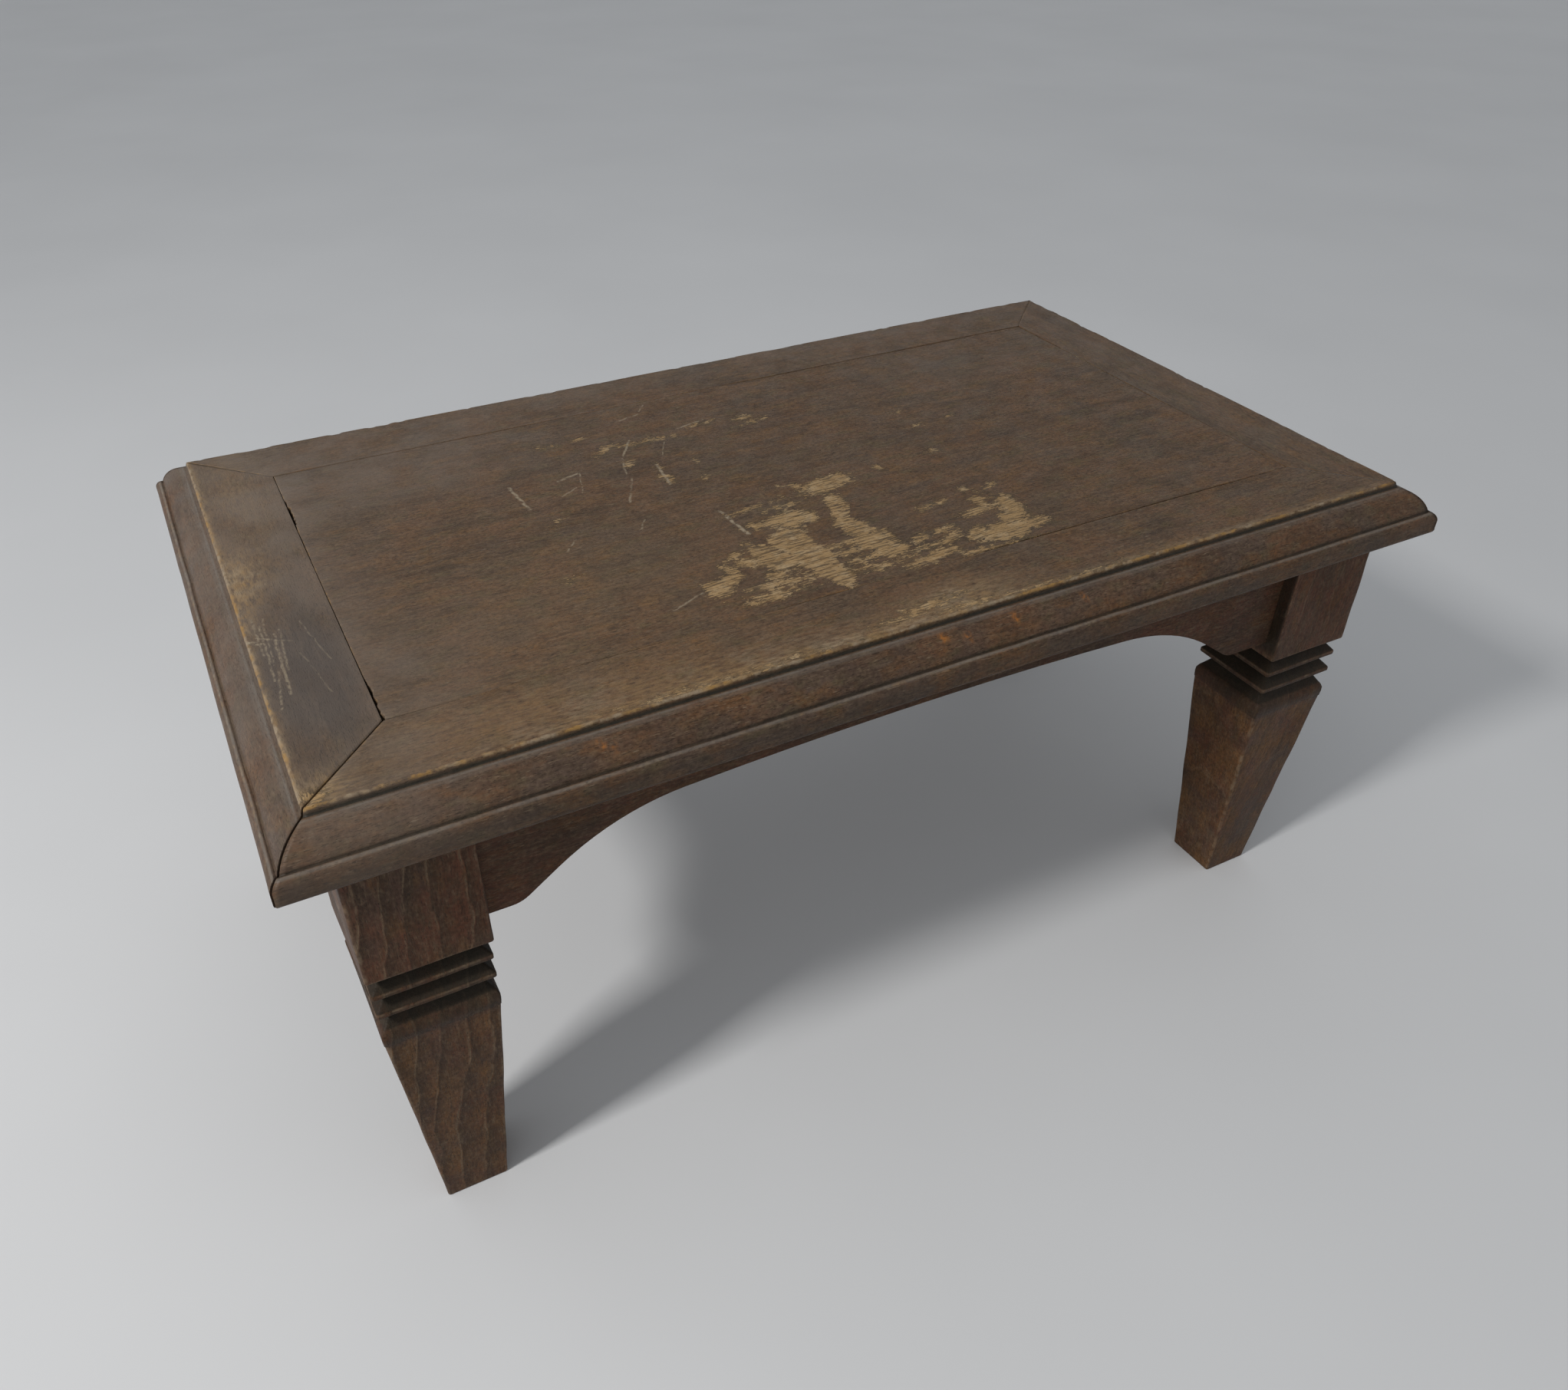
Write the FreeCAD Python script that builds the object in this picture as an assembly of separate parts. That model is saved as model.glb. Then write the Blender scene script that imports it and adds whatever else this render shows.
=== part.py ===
import FreeCAD, Part
import math
import os

# A small four-legged wooden stand, in millimetres.
# The origin is on the floor under the middle of the top. +X runs along the length towards the right,
# +Y runs towards the back and +Z is up. The front is the side that faces -Y.

Vector = FreeCAD.Vector
UP = Vector(0, 0, 1)

# Overall size of the stand
HEIGHT = 181.0
TOP_LENGTH = 400.0
TOP_DEPTH = 234.0
TOP_THICKNESS = 18.0

# Frame of the top: the flat of each rail runs from the panel joint out to a sharp edge, the arris,
# and the moulding runs on from the arris to the outer edge
MOULDING_WIDTH = 12.1
RAIL_FLAT = 25.8
RAIL_WIDTH = RAIL_FLAT + MOULDING_WIDTH
MITRE_GAP = 0.2

# Moulding, as distances out from the arris and down from the top surface
STEP_OUT, STEP_DROP = 0.45, 2.1
OVOLO_MIDDLE_OUT, OVOLO_MIDDLE_DROP = 6.1, 4.8
OVOLO_OUT, OVOLO_DROP = 9.1, 9.1
QUIRK_OUT, QUIRK_DROP = 9.4, 10.2
BEAD_OUT, BEAD_DROP = 10.2, 9.7
BEAD_MIDDLE_OUT, BEAD_MIDDLE_DROP = 11.5, 11.1
BEAD_END_DROP = 13.6
EDGE_RADIUS = 1.6

# Panel of the top, held in the frame by a tongue on all four sides
PANEL_GAP = 0.3
TONGUE_LENGTH = 5.5
TONGUE_THICKNESS = 5.8
GROOVE_DEPTH = 6.3
GROOVE_WIDTH = 6.0

# Loose splines that lock the four mitred corners
SPLINE_LENGTH = 20.0
SPLINE_WIDTH = 12.0
SPLINE_THICKNESS = 4.0
SPLINE_START = 15.0
SPLINE_CLEARANCE = 0.1

# Legs: a nearly square block, three undercut grooves that leave two rings, and a taper down to the foot
LEG_WIDTH = 36.5
LEG_DEPTH = 35.0
LEG_OUTER_X = 185.0
LEG_OUTER_Y = 106.4
FOOT_SIZE = 20.5
FOOT_CHAMFER = 1.0
BLOCK_BOTTOM_Z = 116.5
GROOVE_COUNT = 3
GROOVE_PITCH = 7.7
RING_EDGE = 1.6
UNDERCUT_DEPTH = 5.4
UNDERCUT_WALL = 1.4
RING_INSET = 0.8
SHOULDER_LIP_INSET = 1.8
SHOULDER_INSET = 0.7
SHOULDER_DROP = 1.8
TAPER_START_INSET = 1.0
TAPER_START_DROP = 6.0

# Aprons: arched boards between the legs, tenoned into them
APRON_THICKNESS = 16.0
APRON_SETBACK = 5.0
APRON_LAND_Z = 122.6
ARCH_CROWN_Z = 147.6
CROWN_END_SLOPE = math.radians(3.0)
ARCH_SLOPE = math.radians(36.0)
SHOULDER_RADIUS = 75.0
TOE_RADIUS = 9.0
LONG_ARCH_HALF_SPAN = 136.5
SHORT_ARCH_HALF_SPAN = 60.0
FRONT_ARCH_OFFSET = -4.5

TENON_THICKNESS = 8.0
TENON_LENGTH = 16.0
TENON_BOTTOM_Z = 127.0
TENON_TOP_Z = 155.0
MORTISE_CLEARANCE = 0.1

# Screws that hold the top, driven up through slanting pockets in the aprons.
# The root of the thread starts and ends at these shares of the pitch.
SCREW_TILT = math.radians(20.0)
SCREW_LONG_X = 127.0
SCREW_SHORT_Y = 54.0
SCREW_HEAD_DEPTH = 12.0
SCREW_LENGTH = 23.0
SCREW_HEAD_RADIUS = 3.4
SCREW_HEAD_HEIGHT = 2.1
SCREW_SHANK_RADIUS = 1.75
SCREW_CORE_RADIUS = 1.3
SCREW_SHANK_LENGTH = 9.0
SCREW_PITCH = 1.5
THREAD_ROOT_START, THREAD_ROOT_END = 0.25, 0.5
SCREW_TIP_LENGTH = 3.0
SCREW_SLOT_WIDTH = 0.8
SCREW_SLOT_DEPTH = 0.9
SCREW_CLEARANCE = 0.1
POCKET_RADIUS = 4.0
POCKET_LENGTH = 40.0

# Glue blocks in the angle between the aprons and the top
GLUE_BLOCK_LEG = 12.0
GLUE_BLOCK_LONG = 60.0
GLUE_BLOCK_SHORT = 40.0

# Sizes worked out from the ones above
UNDERSIDE_Z = HEIGHT - TOP_THICKNESS
MIDDLE_Z = HEIGHT - TOP_THICKNESS / 2
OPENING_LENGTH = TOP_LENGTH - 2 * RAIL_WIDTH
OPENING_DEPTH = TOP_DEPTH - 2 * RAIL_WIDTH
LEG_CENTRE_X = LEG_OUTER_X - LEG_WIDTH / 2
LEG_CENTRE_Y = LEG_OUTER_Y - LEG_DEPTH / 2
LEG_INNER_X = LEG_OUTER_X - LEG_WIDTH
LEG_INNER_Y = LEG_OUTER_Y - LEG_DEPTH


def box(size, centre):
    """A box of the given size about a centre point."""
    corner = centre - size * 0.5
    return Part.makeBox(size.x, size.y, size.z, corner)


def edges_to_face(edges):
    """A flat face inside a closed loop of edges."""
    return Part.Face(Part.Wire(edges))


def line(start, end):
    return Part.LineSegment(start, end).toShape()


def arc(start, middle, end):
    return Part.Arc(start, middle, end).toShape()


def turned(shape, quarter_turns):
    """A copy of a shape turned about the upright axis by quarter turns."""
    copy = shape.copy()
    copy.rotate(Vector(0, 0, 0), UP, 90.0 * quarter_turns)
    return copy


def extruded_outline(points, direction):
    """A prism on a closed outline of straight edges."""
    return Part.Face(Part.makePolygon(points + points[:1])).extrude(direction)


# ---- The top ----

def rail_section(x, rail_depth):
    """The cross-section of a front rail, with its moulding, in the plane at the given x."""
    arris_y = -rail_depth / 2 + MOULDING_WIDTH
    outer_y = -rail_depth / 2
    inner_y = arris_y + RAIL_FLAT
    # How far the middle of the rounded lower edge lies in from both faces
    edge_inset = EDGE_RADIUS * (1 - math.sqrt(0.5))

    def point(out, drop):
        return Vector(x, arris_y - out, HEIGHT - drop)

    arris = point(0, 0)
    step_foot = point(STEP_OUT, STEP_DROP)
    ovolo_foot = point(OVOLO_OUT, OVOLO_DROP)
    quirk = point(QUIRK_OUT, QUIRK_DROP)
    bead_top = point(BEAD_OUT, BEAD_DROP)
    bead_end = point(MOULDING_WIDTH, BEAD_END_DROP)
    edge_start = Vector(x, outer_y, UNDERSIDE_Z + EDGE_RADIUS)
    edge_end = Vector(x, outer_y + EDGE_RADIUS, UNDERSIDE_Z)
    edge_middle = Vector(x, outer_y + edge_inset, UNDERSIDE_Z + edge_inset)
    inner_foot = Vector(x, inner_y, UNDERSIDE_Z)
    inner_head = Vector(x, inner_y, HEIGHT)
    return edges_to_face([
        line(inner_head, arris),
        line(arris, step_foot),
        arc(step_foot, point(OVOLO_MIDDLE_OUT, OVOLO_MIDDLE_DROP), ovolo_foot),
        line(ovolo_foot, quirk),
        line(quirk, bead_top),
        arc(bead_top, point(BEAD_MIDDLE_OUT, BEAD_MIDDLE_DROP), bead_end),
        line(bead_end, edge_start),
        arc(edge_start, edge_middle, edge_end),
        line(edge_end, inner_foot),
        line(inner_foot, inner_head),
    ])


def mitre_prism(length, depth):
    """The space a front rail may fill: a trapezium in plan, cut back by half the mitre gap at each end."""
    setback = MITRE_GAP / 2 * math.sqrt(2)
    outer_x = length / 2 - setback
    inner_x = length / 2 - RAIL_WIDTH - setback
    outer_y = -depth / 2
    inner_y = outer_y + RAIL_WIDTH
    outline = [
        Vector(-outer_x, outer_y, UNDERSIDE_Z),
        Vector(outer_x, outer_y, UNDERSIDE_Z),
        Vector(inner_x, inner_y, UNDERSIDE_Z),
        Vector(-inner_x, inner_y, UNDERSIDE_Z),
    ]
    return extruded_outline(outline, UP * TOP_THICKNESS)


def moulded_rail(length, depth):
    """A front rail with mitred ends and a groove for the panel, for a top of the given plan size."""
    rail = rail_section(-length / 2, depth).extrude(Vector(length, 0, 0))
    rail = rail.common(mitre_prism(length, depth))
    inner_y = -depth / 2 + RAIL_WIDTH
    groove = box(Vector(length, 2 * GROOVE_DEPTH, GROOVE_WIDTH), Vector(0, inner_y, MIDDLE_Z))
    return rail.cut(groove)


def spline_at(corner_x, corner_y, clearance):
    """A flat plate across the mitre whose inner end is near the given corner of the opening."""
    outward = Vector(math.copysign(1, corner_x), math.copysign(1, corner_y), 0).normalize()
    middle = Vector(corner_x, corner_y, MIDDLE_Z) + outward * (SPLINE_START + SPLINE_LENGTH / 2)
    size = Vector(SPLINE_LENGTH, SPLINE_WIDTH, SPLINE_THICKNESS)
    size = size + Vector(1, 1, 1) * (2 * clearance)
    plate = box(size, Vector(0, 0, 0))
    plate.rotate(Vector(0, 0, 0), UP, math.degrees(math.atan2(outward.y, outward.x)))
    plate.translate(middle)
    return plate


def corner_signs():
    """Names and signs of the four corners, seen from the front."""
    return {
        "front_left": (-1, -1),
        "front_right": (1, -1),
        "rear_left": (-1, 1),
        "rear_right": (1, 1),
    }


def make_splines():
    """The four loose splines, by node name."""
    return {
        "mitre_spline_" + corner: spline_at(sx * OPENING_LENGTH / 2, sy * OPENING_DEPTH / 2, 0)
        for corner, (sx, sy) in corner_signs().items()
    }


def make_rails():
    """The four rails of the frame, with their spline slots."""
    slots = [
        spline_at(sx * OPENING_LENGTH / 2, sy * OPENING_DEPTH / 2, SPLINE_CLEARANCE)
        for sx, sy in corner_signs().values()
    ]
    long_rail = moulded_rail(TOP_LENGTH, TOP_DEPTH)
    short_rail = moulded_rail(TOP_DEPTH, TOP_LENGTH)
    rails = {
        "front_rail": long_rail,
        "right_rail": turned(short_rail, 1),
        "rear_rail": turned(long_rail, 2),
        "left_rail": turned(short_rail, 3),
    }
    screws = screw_solids(SCREW_CLEARANCE)
    return {name: rail.cut(slots + screws) for name, rail in rails.items()}


def make_panel():
    """The field of the top: a board with a tongue on every edge."""
    board_size = Vector(OPENING_LENGTH - 2 * PANEL_GAP, OPENING_DEPTH - 2 * PANEL_GAP, TOP_THICKNESS)
    tongue_size = board_size + Vector(1, 1, 0) * (2 * TONGUE_LENGTH)
    tongue_size.z = TONGUE_THICKNESS
    centre = Vector(0, 0, MIDDLE_Z)
    return box(board_size, centre).fuse(box(tongue_size, centre)).removeSplitter()


# ---- The legs ----

def grooved_side(half):
    """Points down the side of a leg from its top to the shoulder of the taper; half is half the width."""
    points = [(half, UNDERSIDE_Z), (half, BLOCK_BOTTOM_Z)]
    for groove in range(GROOVE_COUNT):
        ceiling_z = BLOCK_BOTTOM_Z - groove * GROOVE_PITCH
        if groove > 0:
            points.append((half - RING_INSET, ceiling_z))
        points.append((half - UNDERCUT_DEPTH, ceiling_z))
        points.append((half - UNDERCUT_DEPTH, ceiling_z - UNDERCUT_WALL))
        is_last = groove == GROOVE_COUNT - 1
        inset = SHOULDER_LIP_INSET if is_last else RING_INSET
        points.append((half - inset, ceiling_z - GROOVE_PITCH + RING_EDGE))
    return [Vector(x, 0, z) for x, z in points]


def leg_profile(width):
    """The face that a leg of the given width fills when seen square on."""
    half = width / 2
    side = grooved_side(half)
    lip = side[-1]
    shoulder = Vector(half - SHOULDER_INSET, 0, lip.z - SHOULDER_DROP)
    taper_start = Vector(half - TAPER_START_INSET, 0, lip.z - TAPER_START_DROP)
    foot_side = Vector(FOOT_SIZE / 2, 0, FOOT_CHAMFER)
    foot_bottom = Vector(FOOT_SIZE / 2 - FOOT_CHAMFER, 0, 0)

    def mirrored(point):
        return Vector(-point.x, 0, point.z)

    def straight_edges(points):
        return [line(start, end) for start, end in zip(points, points[1:])]

    right_foot = [taper_start, foot_side, foot_bottom]
    left_foot = [mirrored(point) for point in reversed(right_foot)]
    left_side = [mirrored(point) for point in reversed(side)]
    edges = straight_edges(side)
    edges.append(arc(lip, shoulder, taper_start))
    edges += straight_edges(right_foot + left_foot)
    edges.append(arc(mirrored(taper_start), mirrored(shoulder), mirrored(lip)))
    edges += straight_edges(left_side + side[:1])
    return edges_to_face(edges)


def make_leg():
    """A leg centred on the upright axis: the common part of its front and side profiles."""
    reach = LEG_WIDTH + LEG_DEPTH
    across = leg_profile(LEG_WIDTH)
    across.translate(Vector(0, -reach / 2, 0))
    along = turned(leg_profile(LEG_DEPTH), 1)
    along.translate(Vector(-reach / 2, 0, 0))
    return across.extrude(Vector(0, reach, 0)).common(along.extrude(Vector(reach, 0, 0)))


def make_legs():
    """The four legs, each with the mortises for its two aprons."""
    leg = make_leg()
    mortises = apron_tenons(MORTISE_CLEARANCE)
    legs = {}
    for corner, (sx, sy) in corner_signs().items():
        placed = leg.copy()
        placed.translate(Vector(sx * LEG_CENTRE_X, sy * LEG_CENTRE_Y, 0))
        legs["leg_" + corner] = placed.cut(mortises)
    return legs


# ---- The aprons ----

def arch_edges(half_span, offset, y):
    """The edges of an arch, from its left toe to its right toe, in the plane at the given y."""
    slope_sin, slope_cos = math.sin(ARCH_SLOPE), math.cos(ARCH_SLOPE)
    crown_sin, crown_cos = math.sin(CROWN_END_SLOPE), math.cos(CROWN_END_SLOPE)
    # A crown arc falls by this much for each unit of its half length
    crown_fall = math.tan(CROWN_END_SLOPE / 2)
    # What is left of the rise and the half span for the crown arc and the straight stretch together
    rise = ARCH_CROWN_Z - APRON_LAND_Z
    rise_left = rise - SHOULDER_RADIUS * (crown_cos - slope_cos) - TOE_RADIUS * (1 - slope_cos)
    span_left = half_span - SHOULDER_RADIUS * (slope_sin - crown_sin) - TOE_RADIUS * slope_sin
    straight = (rise_left - span_left * crown_fall) / (slope_sin - slope_cos * crown_fall)
    crown_half = span_left - straight * slope_cos
    crown_radius = crown_half / crown_sin

    def on_circle(centre_x, centre_z, radius, angle):
        return centre_x + radius * math.sin(angle), centre_z + radius * math.cos(angle)

    crown_end = on_circle(0, ARCH_CROWN_Z - crown_radius, crown_radius, CROWN_END_SLOPE)
    shoulder_centre = on_circle(*crown_end, -SHOULDER_RADIUS, CROWN_END_SLOPE)
    shoulder_middle = on_circle(*shoulder_centre, SHOULDER_RADIUS, (CROWN_END_SLOPE + ARCH_SLOPE) / 2)
    shoulder_end = on_circle(*shoulder_centre, SHOULDER_RADIUS, ARCH_SLOPE)
    toe_centre = (half_span, APRON_LAND_Z + TOE_RADIUS)
    toe_start = on_circle(*toe_centre, -TOE_RADIUS, ARCH_SLOPE)
    toe_middle = on_circle(*toe_centre, -TOE_RADIUS, ARCH_SLOPE / 2)
    toe_end = (half_span, APRON_LAND_Z)

    def right(place):
        return Vector(offset + place[0], y, place[1])

    def left(place):
        return Vector(offset - place[0], y, place[1])

    crown_top = Vector(offset, y, ARCH_CROWN_Z)
    return [
        arc(left(toe_end), left(toe_middle), left(toe_start)),
        line(left(toe_start), left(shoulder_end)),
        arc(left(shoulder_end), left(shoulder_middle), left(crown_end)),
        arc(left(crown_end), crown_top, right(crown_end)),
        arc(right(crown_end), right(shoulder_middle), right(shoulder_end)),
        line(right(shoulder_end), right(toe_start)),
        arc(right(toe_start), right(toe_middle), right(toe_end)),
    ]


def tenon_pair(leg_gap_half, middle_y, clearance):
    """The two tenons of a front apron, which reach into the legs from leg_gap_half outwards."""
    size = Vector(TENON_LENGTH + clearance, TENON_THICKNESS, TENON_TOP_Z - TENON_BOTTOM_Z)
    size = size + Vector(0, 2, 2) * clearance
    reach = leg_gap_half + size.x / 2
    centre_z = (TENON_TOP_Z + TENON_BOTTOM_Z) / 2
    return [box(size, Vector(side * reach, middle_y, centre_z)) for side in (-1, 1)]


def apron_board(leg_gap_half, outer_y, half_span, offset):
    """A front apron between two legs, arched underneath, with a tenon at each end."""
    left_x, right_x = -leg_gap_half, leg_gap_half
    top_left = Vector(left_x, outer_y, UNDERSIDE_Z)
    top_right = Vector(right_x, outer_y, UNDERSIDE_Z)
    foot_left = Vector(left_x, outer_y, APRON_LAND_Z)
    foot_right = Vector(right_x, outer_y, APRON_LAND_Z)
    toe_left = Vector(offset - half_span, outer_y, APRON_LAND_Z)
    toe_right = Vector(offset + half_span, outer_y, APRON_LAND_Z)
    edges = [line(top_left, foot_left), line(foot_left, toe_left)]
    edges += arch_edges(half_span, offset, outer_y)
    edges += [line(toe_right, foot_right), line(foot_right, top_right), line(top_right, top_left)]
    board = edges_to_face(edges).extrude(Vector(0, APRON_THICKNESS, 0))
    return board.fuse(tenon_pair(leg_gap_half, outer_y + APRON_THICKNESS / 2, 0)).removeSplitter()


def apron_tenons(clearance):
    """All eight tenons in place, grown by a clearance."""
    middle_y = -LEG_OUTER_Y + APRON_SETBACK + APRON_THICKNESS / 2
    middle_x = -LEG_OUTER_X + APRON_SETBACK + APRON_THICKNESS / 2
    long_pair = tenon_pair(LEG_INNER_X, middle_y, clearance)
    short_pair = tenon_pair(LEG_INNER_Y, middle_x, clearance)
    tenons = []
    for half_turn in (0, 2):
        tenons += [turned(tenon, half_turn) for tenon in long_pair]
        tenons += [turned(tenon, half_turn + 1) for tenon in short_pair]
    return tenons


def make_aprons():
    """The four aprons, with the pockets for the screws."""
    front_y = -LEG_OUTER_Y + APRON_SETBACK
    side_y = -LEG_OUTER_X + APRON_SETBACK
    front = apron_board(LEG_INNER_X, front_y, LONG_ARCH_HALF_SPAN, FRONT_ARCH_OFFSET)
    rear = apron_board(LEG_INNER_X, front_y, LONG_ARCH_HALF_SPAN, 0)
    side = apron_board(LEG_INNER_Y, side_y, SHORT_ARCH_HALF_SPAN, 0)
    aprons = {
        "front_apron": front,
        "right_apron": turned(side, 1),
        "rear_apron": turned(rear, 2),
        "left_apron": turned(side, 3),
    }
    cutters = screw_solids(SCREW_CLEARANCE) + pocket_solids()
    return {name: apron.cut(cutters) for name, apron in aprons.items()}


# ---- Screws and glue blocks ----

def screw_places():
    """Where each screw crosses the top edge of its apron, and how many quarter turns from the front."""
    long_y = -LEG_OUTER_Y + APRON_SETBACK + APRON_THICKNESS / 2
    short_y = -LEG_OUTER_X + APRON_SETBACK + APRON_THICKNESS / 2
    places = []
    for side in (-1, 1):
        for half_turn in (0, 2):
            places.append((Vector(side * SCREW_LONG_X, long_y, UNDERSIDE_Z), half_turn))
            places.append((Vector(side * SCREW_SHORT_Y, short_y, UNDERSIDE_Z), half_turn + 1))
    return places


def placed_on_axis(solid):
    """Copies of an upright solid, leant over and put on the axis of each screw."""
    copies = []
    for place, quarter_turns in screw_places():
        copy = solid.copy()
        copy.rotate(Vector(0, 0, 0), Vector(1, 0, 0), math.degrees(SCREW_TILT))
        copy.translate(place)
        copies.append(turned(copy, quarter_turns))
    return copies


def screw_outline(clearance):
    """Half the outline of an upright screw, as radius and height, from the head up to the tip."""
    head_z = -SCREW_HEAD_DEPTH
    tip_z = head_z + SCREW_LENGTH
    thread_z = head_z + SCREW_SHANK_LENGTH
    shank = SCREW_SHANK_RADIUS + clearance
    outline = [
        (0, head_z - clearance),
        (SCREW_HEAD_RADIUS + clearance, head_z - clearance),
        (shank, head_z + SCREW_HEAD_HEIGHT + clearance),
        (shank, thread_z),
    ]
    if clearance > 0:
        outline += [(shank, tip_z + clearance), (0, tip_z + clearance)]
        return outline
    turns = int((tip_z - SCREW_TIP_LENGTH - thread_z) / SCREW_PITCH)
    for turn in range(turns):
        root_z = thread_z + turn * SCREW_PITCH
        outline.append((SCREW_CORE_RADIUS, root_z + SCREW_PITCH * THREAD_ROOT_START))
        outline.append((SCREW_CORE_RADIUS, root_z + SCREW_PITCH * THREAD_ROOT_END))
        outline.append((SCREW_SHANK_RADIUS, root_z + SCREW_PITCH))
    outline += [(SCREW_CORE_RADIUS, tip_z - SCREW_TIP_LENGTH), (0, tip_z)]
    return outline


def upright_screw(clearance):
    """One screw about the upright axis, with its thread as rings."""
    points = [Vector(radius, 0, z) for radius, z in screw_outline(clearance)]
    half_section = Part.Face(Part.makePolygon(points + points[:1]))
    return half_section.revolve(Vector(0, 0, 0), UP, 360)


def screw_solids(clearance):
    """All the screws in place, or the holes they need when given a clearance."""
    screw = upright_screw(clearance)
    if clearance == 0:
        slot_size = Vector(3 * SCREW_HEAD_RADIUS, SCREW_SLOT_WIDTH, 2 * SCREW_SLOT_DEPTH)
        screw = screw.cut(box(slot_size, Vector(0, 0, -SCREW_HEAD_DEPTH)))
    return placed_on_axis(screw)


def pocket_solids():
    """The round-ended pockets that let each screw head down to its seat."""
    seat = Vector(0, 0, -SCREW_HEAD_DEPTH - POCKET_LENGTH)
    return placed_on_axis(Part.makeCylinder(POCKET_RADIUS, POCKET_LENGTH, seat))


def glue_block(length, inner_y):
    """A three-cornered block in the angle between a front apron and the top."""
    outline = [
        Vector(-length / 2, inner_y, UNDERSIDE_Z),
        Vector(-length / 2, inner_y + GLUE_BLOCK_LEG, UNDERSIDE_Z),
        Vector(-length / 2, inner_y, UNDERSIDE_Z - GLUE_BLOCK_LEG),
    ]
    return extruded_outline(outline, Vector(length, 0, 0))


def make_glue_blocks():
    """One glue block in the middle of each apron."""
    long_block = glue_block(GLUE_BLOCK_LONG, -LEG_OUTER_Y + APRON_SETBACK + APRON_THICKNESS)
    short_block = glue_block(GLUE_BLOCK_SHORT, -LEG_OUTER_X + APRON_SETBACK + APRON_THICKNESS)
    return {
        "glue_block_front": long_block,
        "glue_block_right": turned(short_block, 1),
        "glue_block_rear": turned(long_block, 2),
        "glue_block_left": turned(short_block, 3),
    }


def main():
    nodes = {"top_panel": make_panel(), "top_screws": Part.makeCompound(screw_solids(0))}
    nodes.update(make_rails())
    nodes.update(make_splines())
    nodes.update(make_legs())
    nodes.update(make_aprons())
    nodes.update(make_glue_blocks())
    os.makedirs("parts", exist_ok=True)
    for name, shape in nodes.items():
        shape.exportStep("parts/" + name + ".step")


main()
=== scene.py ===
import math

import bpy
import numpy as np
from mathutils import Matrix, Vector


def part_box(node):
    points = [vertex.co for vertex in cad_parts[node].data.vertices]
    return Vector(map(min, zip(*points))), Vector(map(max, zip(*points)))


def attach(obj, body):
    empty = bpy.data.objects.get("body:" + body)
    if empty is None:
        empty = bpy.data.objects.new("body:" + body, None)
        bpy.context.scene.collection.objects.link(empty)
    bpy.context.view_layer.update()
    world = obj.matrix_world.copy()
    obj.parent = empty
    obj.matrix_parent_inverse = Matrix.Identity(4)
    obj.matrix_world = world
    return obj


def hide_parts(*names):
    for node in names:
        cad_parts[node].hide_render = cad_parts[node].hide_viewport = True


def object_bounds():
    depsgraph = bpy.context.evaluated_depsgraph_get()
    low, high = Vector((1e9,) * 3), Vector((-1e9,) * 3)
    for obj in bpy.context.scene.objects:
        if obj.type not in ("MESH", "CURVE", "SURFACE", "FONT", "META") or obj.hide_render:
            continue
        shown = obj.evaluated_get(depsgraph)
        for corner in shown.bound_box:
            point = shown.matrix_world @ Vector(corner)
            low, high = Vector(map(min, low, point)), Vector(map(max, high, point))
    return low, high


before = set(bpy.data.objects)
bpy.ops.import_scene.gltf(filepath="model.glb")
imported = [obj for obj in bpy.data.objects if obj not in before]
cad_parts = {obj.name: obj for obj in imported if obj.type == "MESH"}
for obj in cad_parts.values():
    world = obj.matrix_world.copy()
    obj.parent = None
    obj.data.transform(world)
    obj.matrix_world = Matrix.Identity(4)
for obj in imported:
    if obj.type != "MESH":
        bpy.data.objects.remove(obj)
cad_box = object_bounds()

# A small four-legged wooden stand. Lengths in the tables below are millimetres, and every mesh is in
# metres. The frame has its origin on the floor under the middle of the top, +X along the length, +Y to the
# back.

MM = 0.001
SEED = 7

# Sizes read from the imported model, in millimetres
HALF_LENGTH, HALF_DEPTH, HEIGHT = np.array(cad_box[1]) / MM
PANEL_LOW, PANEL_HIGH = (np.array(corner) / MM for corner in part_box("top_panel"))
UNDERSIDE = PANEL_LOW[2]

# The top's frame
MOULDING_WIDTH = 12.1
RAIL_FLAT = 25.8
GROOVE_DEPTH = 6.3
GROOVE_HALF_WIDTH = 3.0
TONGUE_LENGTH = 5.5
TONGUE_HALF_THICKNESS = 2.9
# Spacing of the points along a rail
RAIL_STEP = 0.75
# How far down the nicks in the arris reach
ARRIS_FOOT = 0.75
# Points on a rail less far down than this are on its upper side
RAIL_UPPER = 17.0


def smooth(x, low, high):
    """0 below low, 1 above high, and an S-curve between them; works on arrays and with low above high."""
    t = np.clip((x - low) / (high - low), 0.0, 1.0)
    return t * t * (3 - 2 * t)


def wander(s, step, seed):
    """Smooth one-dimensional noise between -1 and 1 along s, with a bend about every step."""
    rng = np.random.default_rng(SEED + seed)
    values = rng.uniform(-1, 1, 4096)
    place = np.asarray(s) / step + 2048
    cell = np.floor(place).astype(int) % 4095
    t = place - np.floor(place)
    t = t * t * (3 - 2 * t)
    return values[cell] * (1 - t) + values[cell + 1] * t


def undulation(points, wavelength, seed):
    """Smooth noise between about -1 and 1 in three dimensions, as a sum of slanting waves."""
    rng = np.random.default_rng(SEED + seed)
    total = np.zeros(points.shape[:-1])
    for _ in range(7):
        direction = rng.normal(size=3)
        direction *= rng.uniform(0.6, 1.6) * 2 * math.pi / wavelength / np.linalg.norm(direction)
        total += np.sin(points @ direction + rng.uniform(0, 2 * math.pi))
    return np.clip(total / 2.6, -1, 1)


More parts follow.
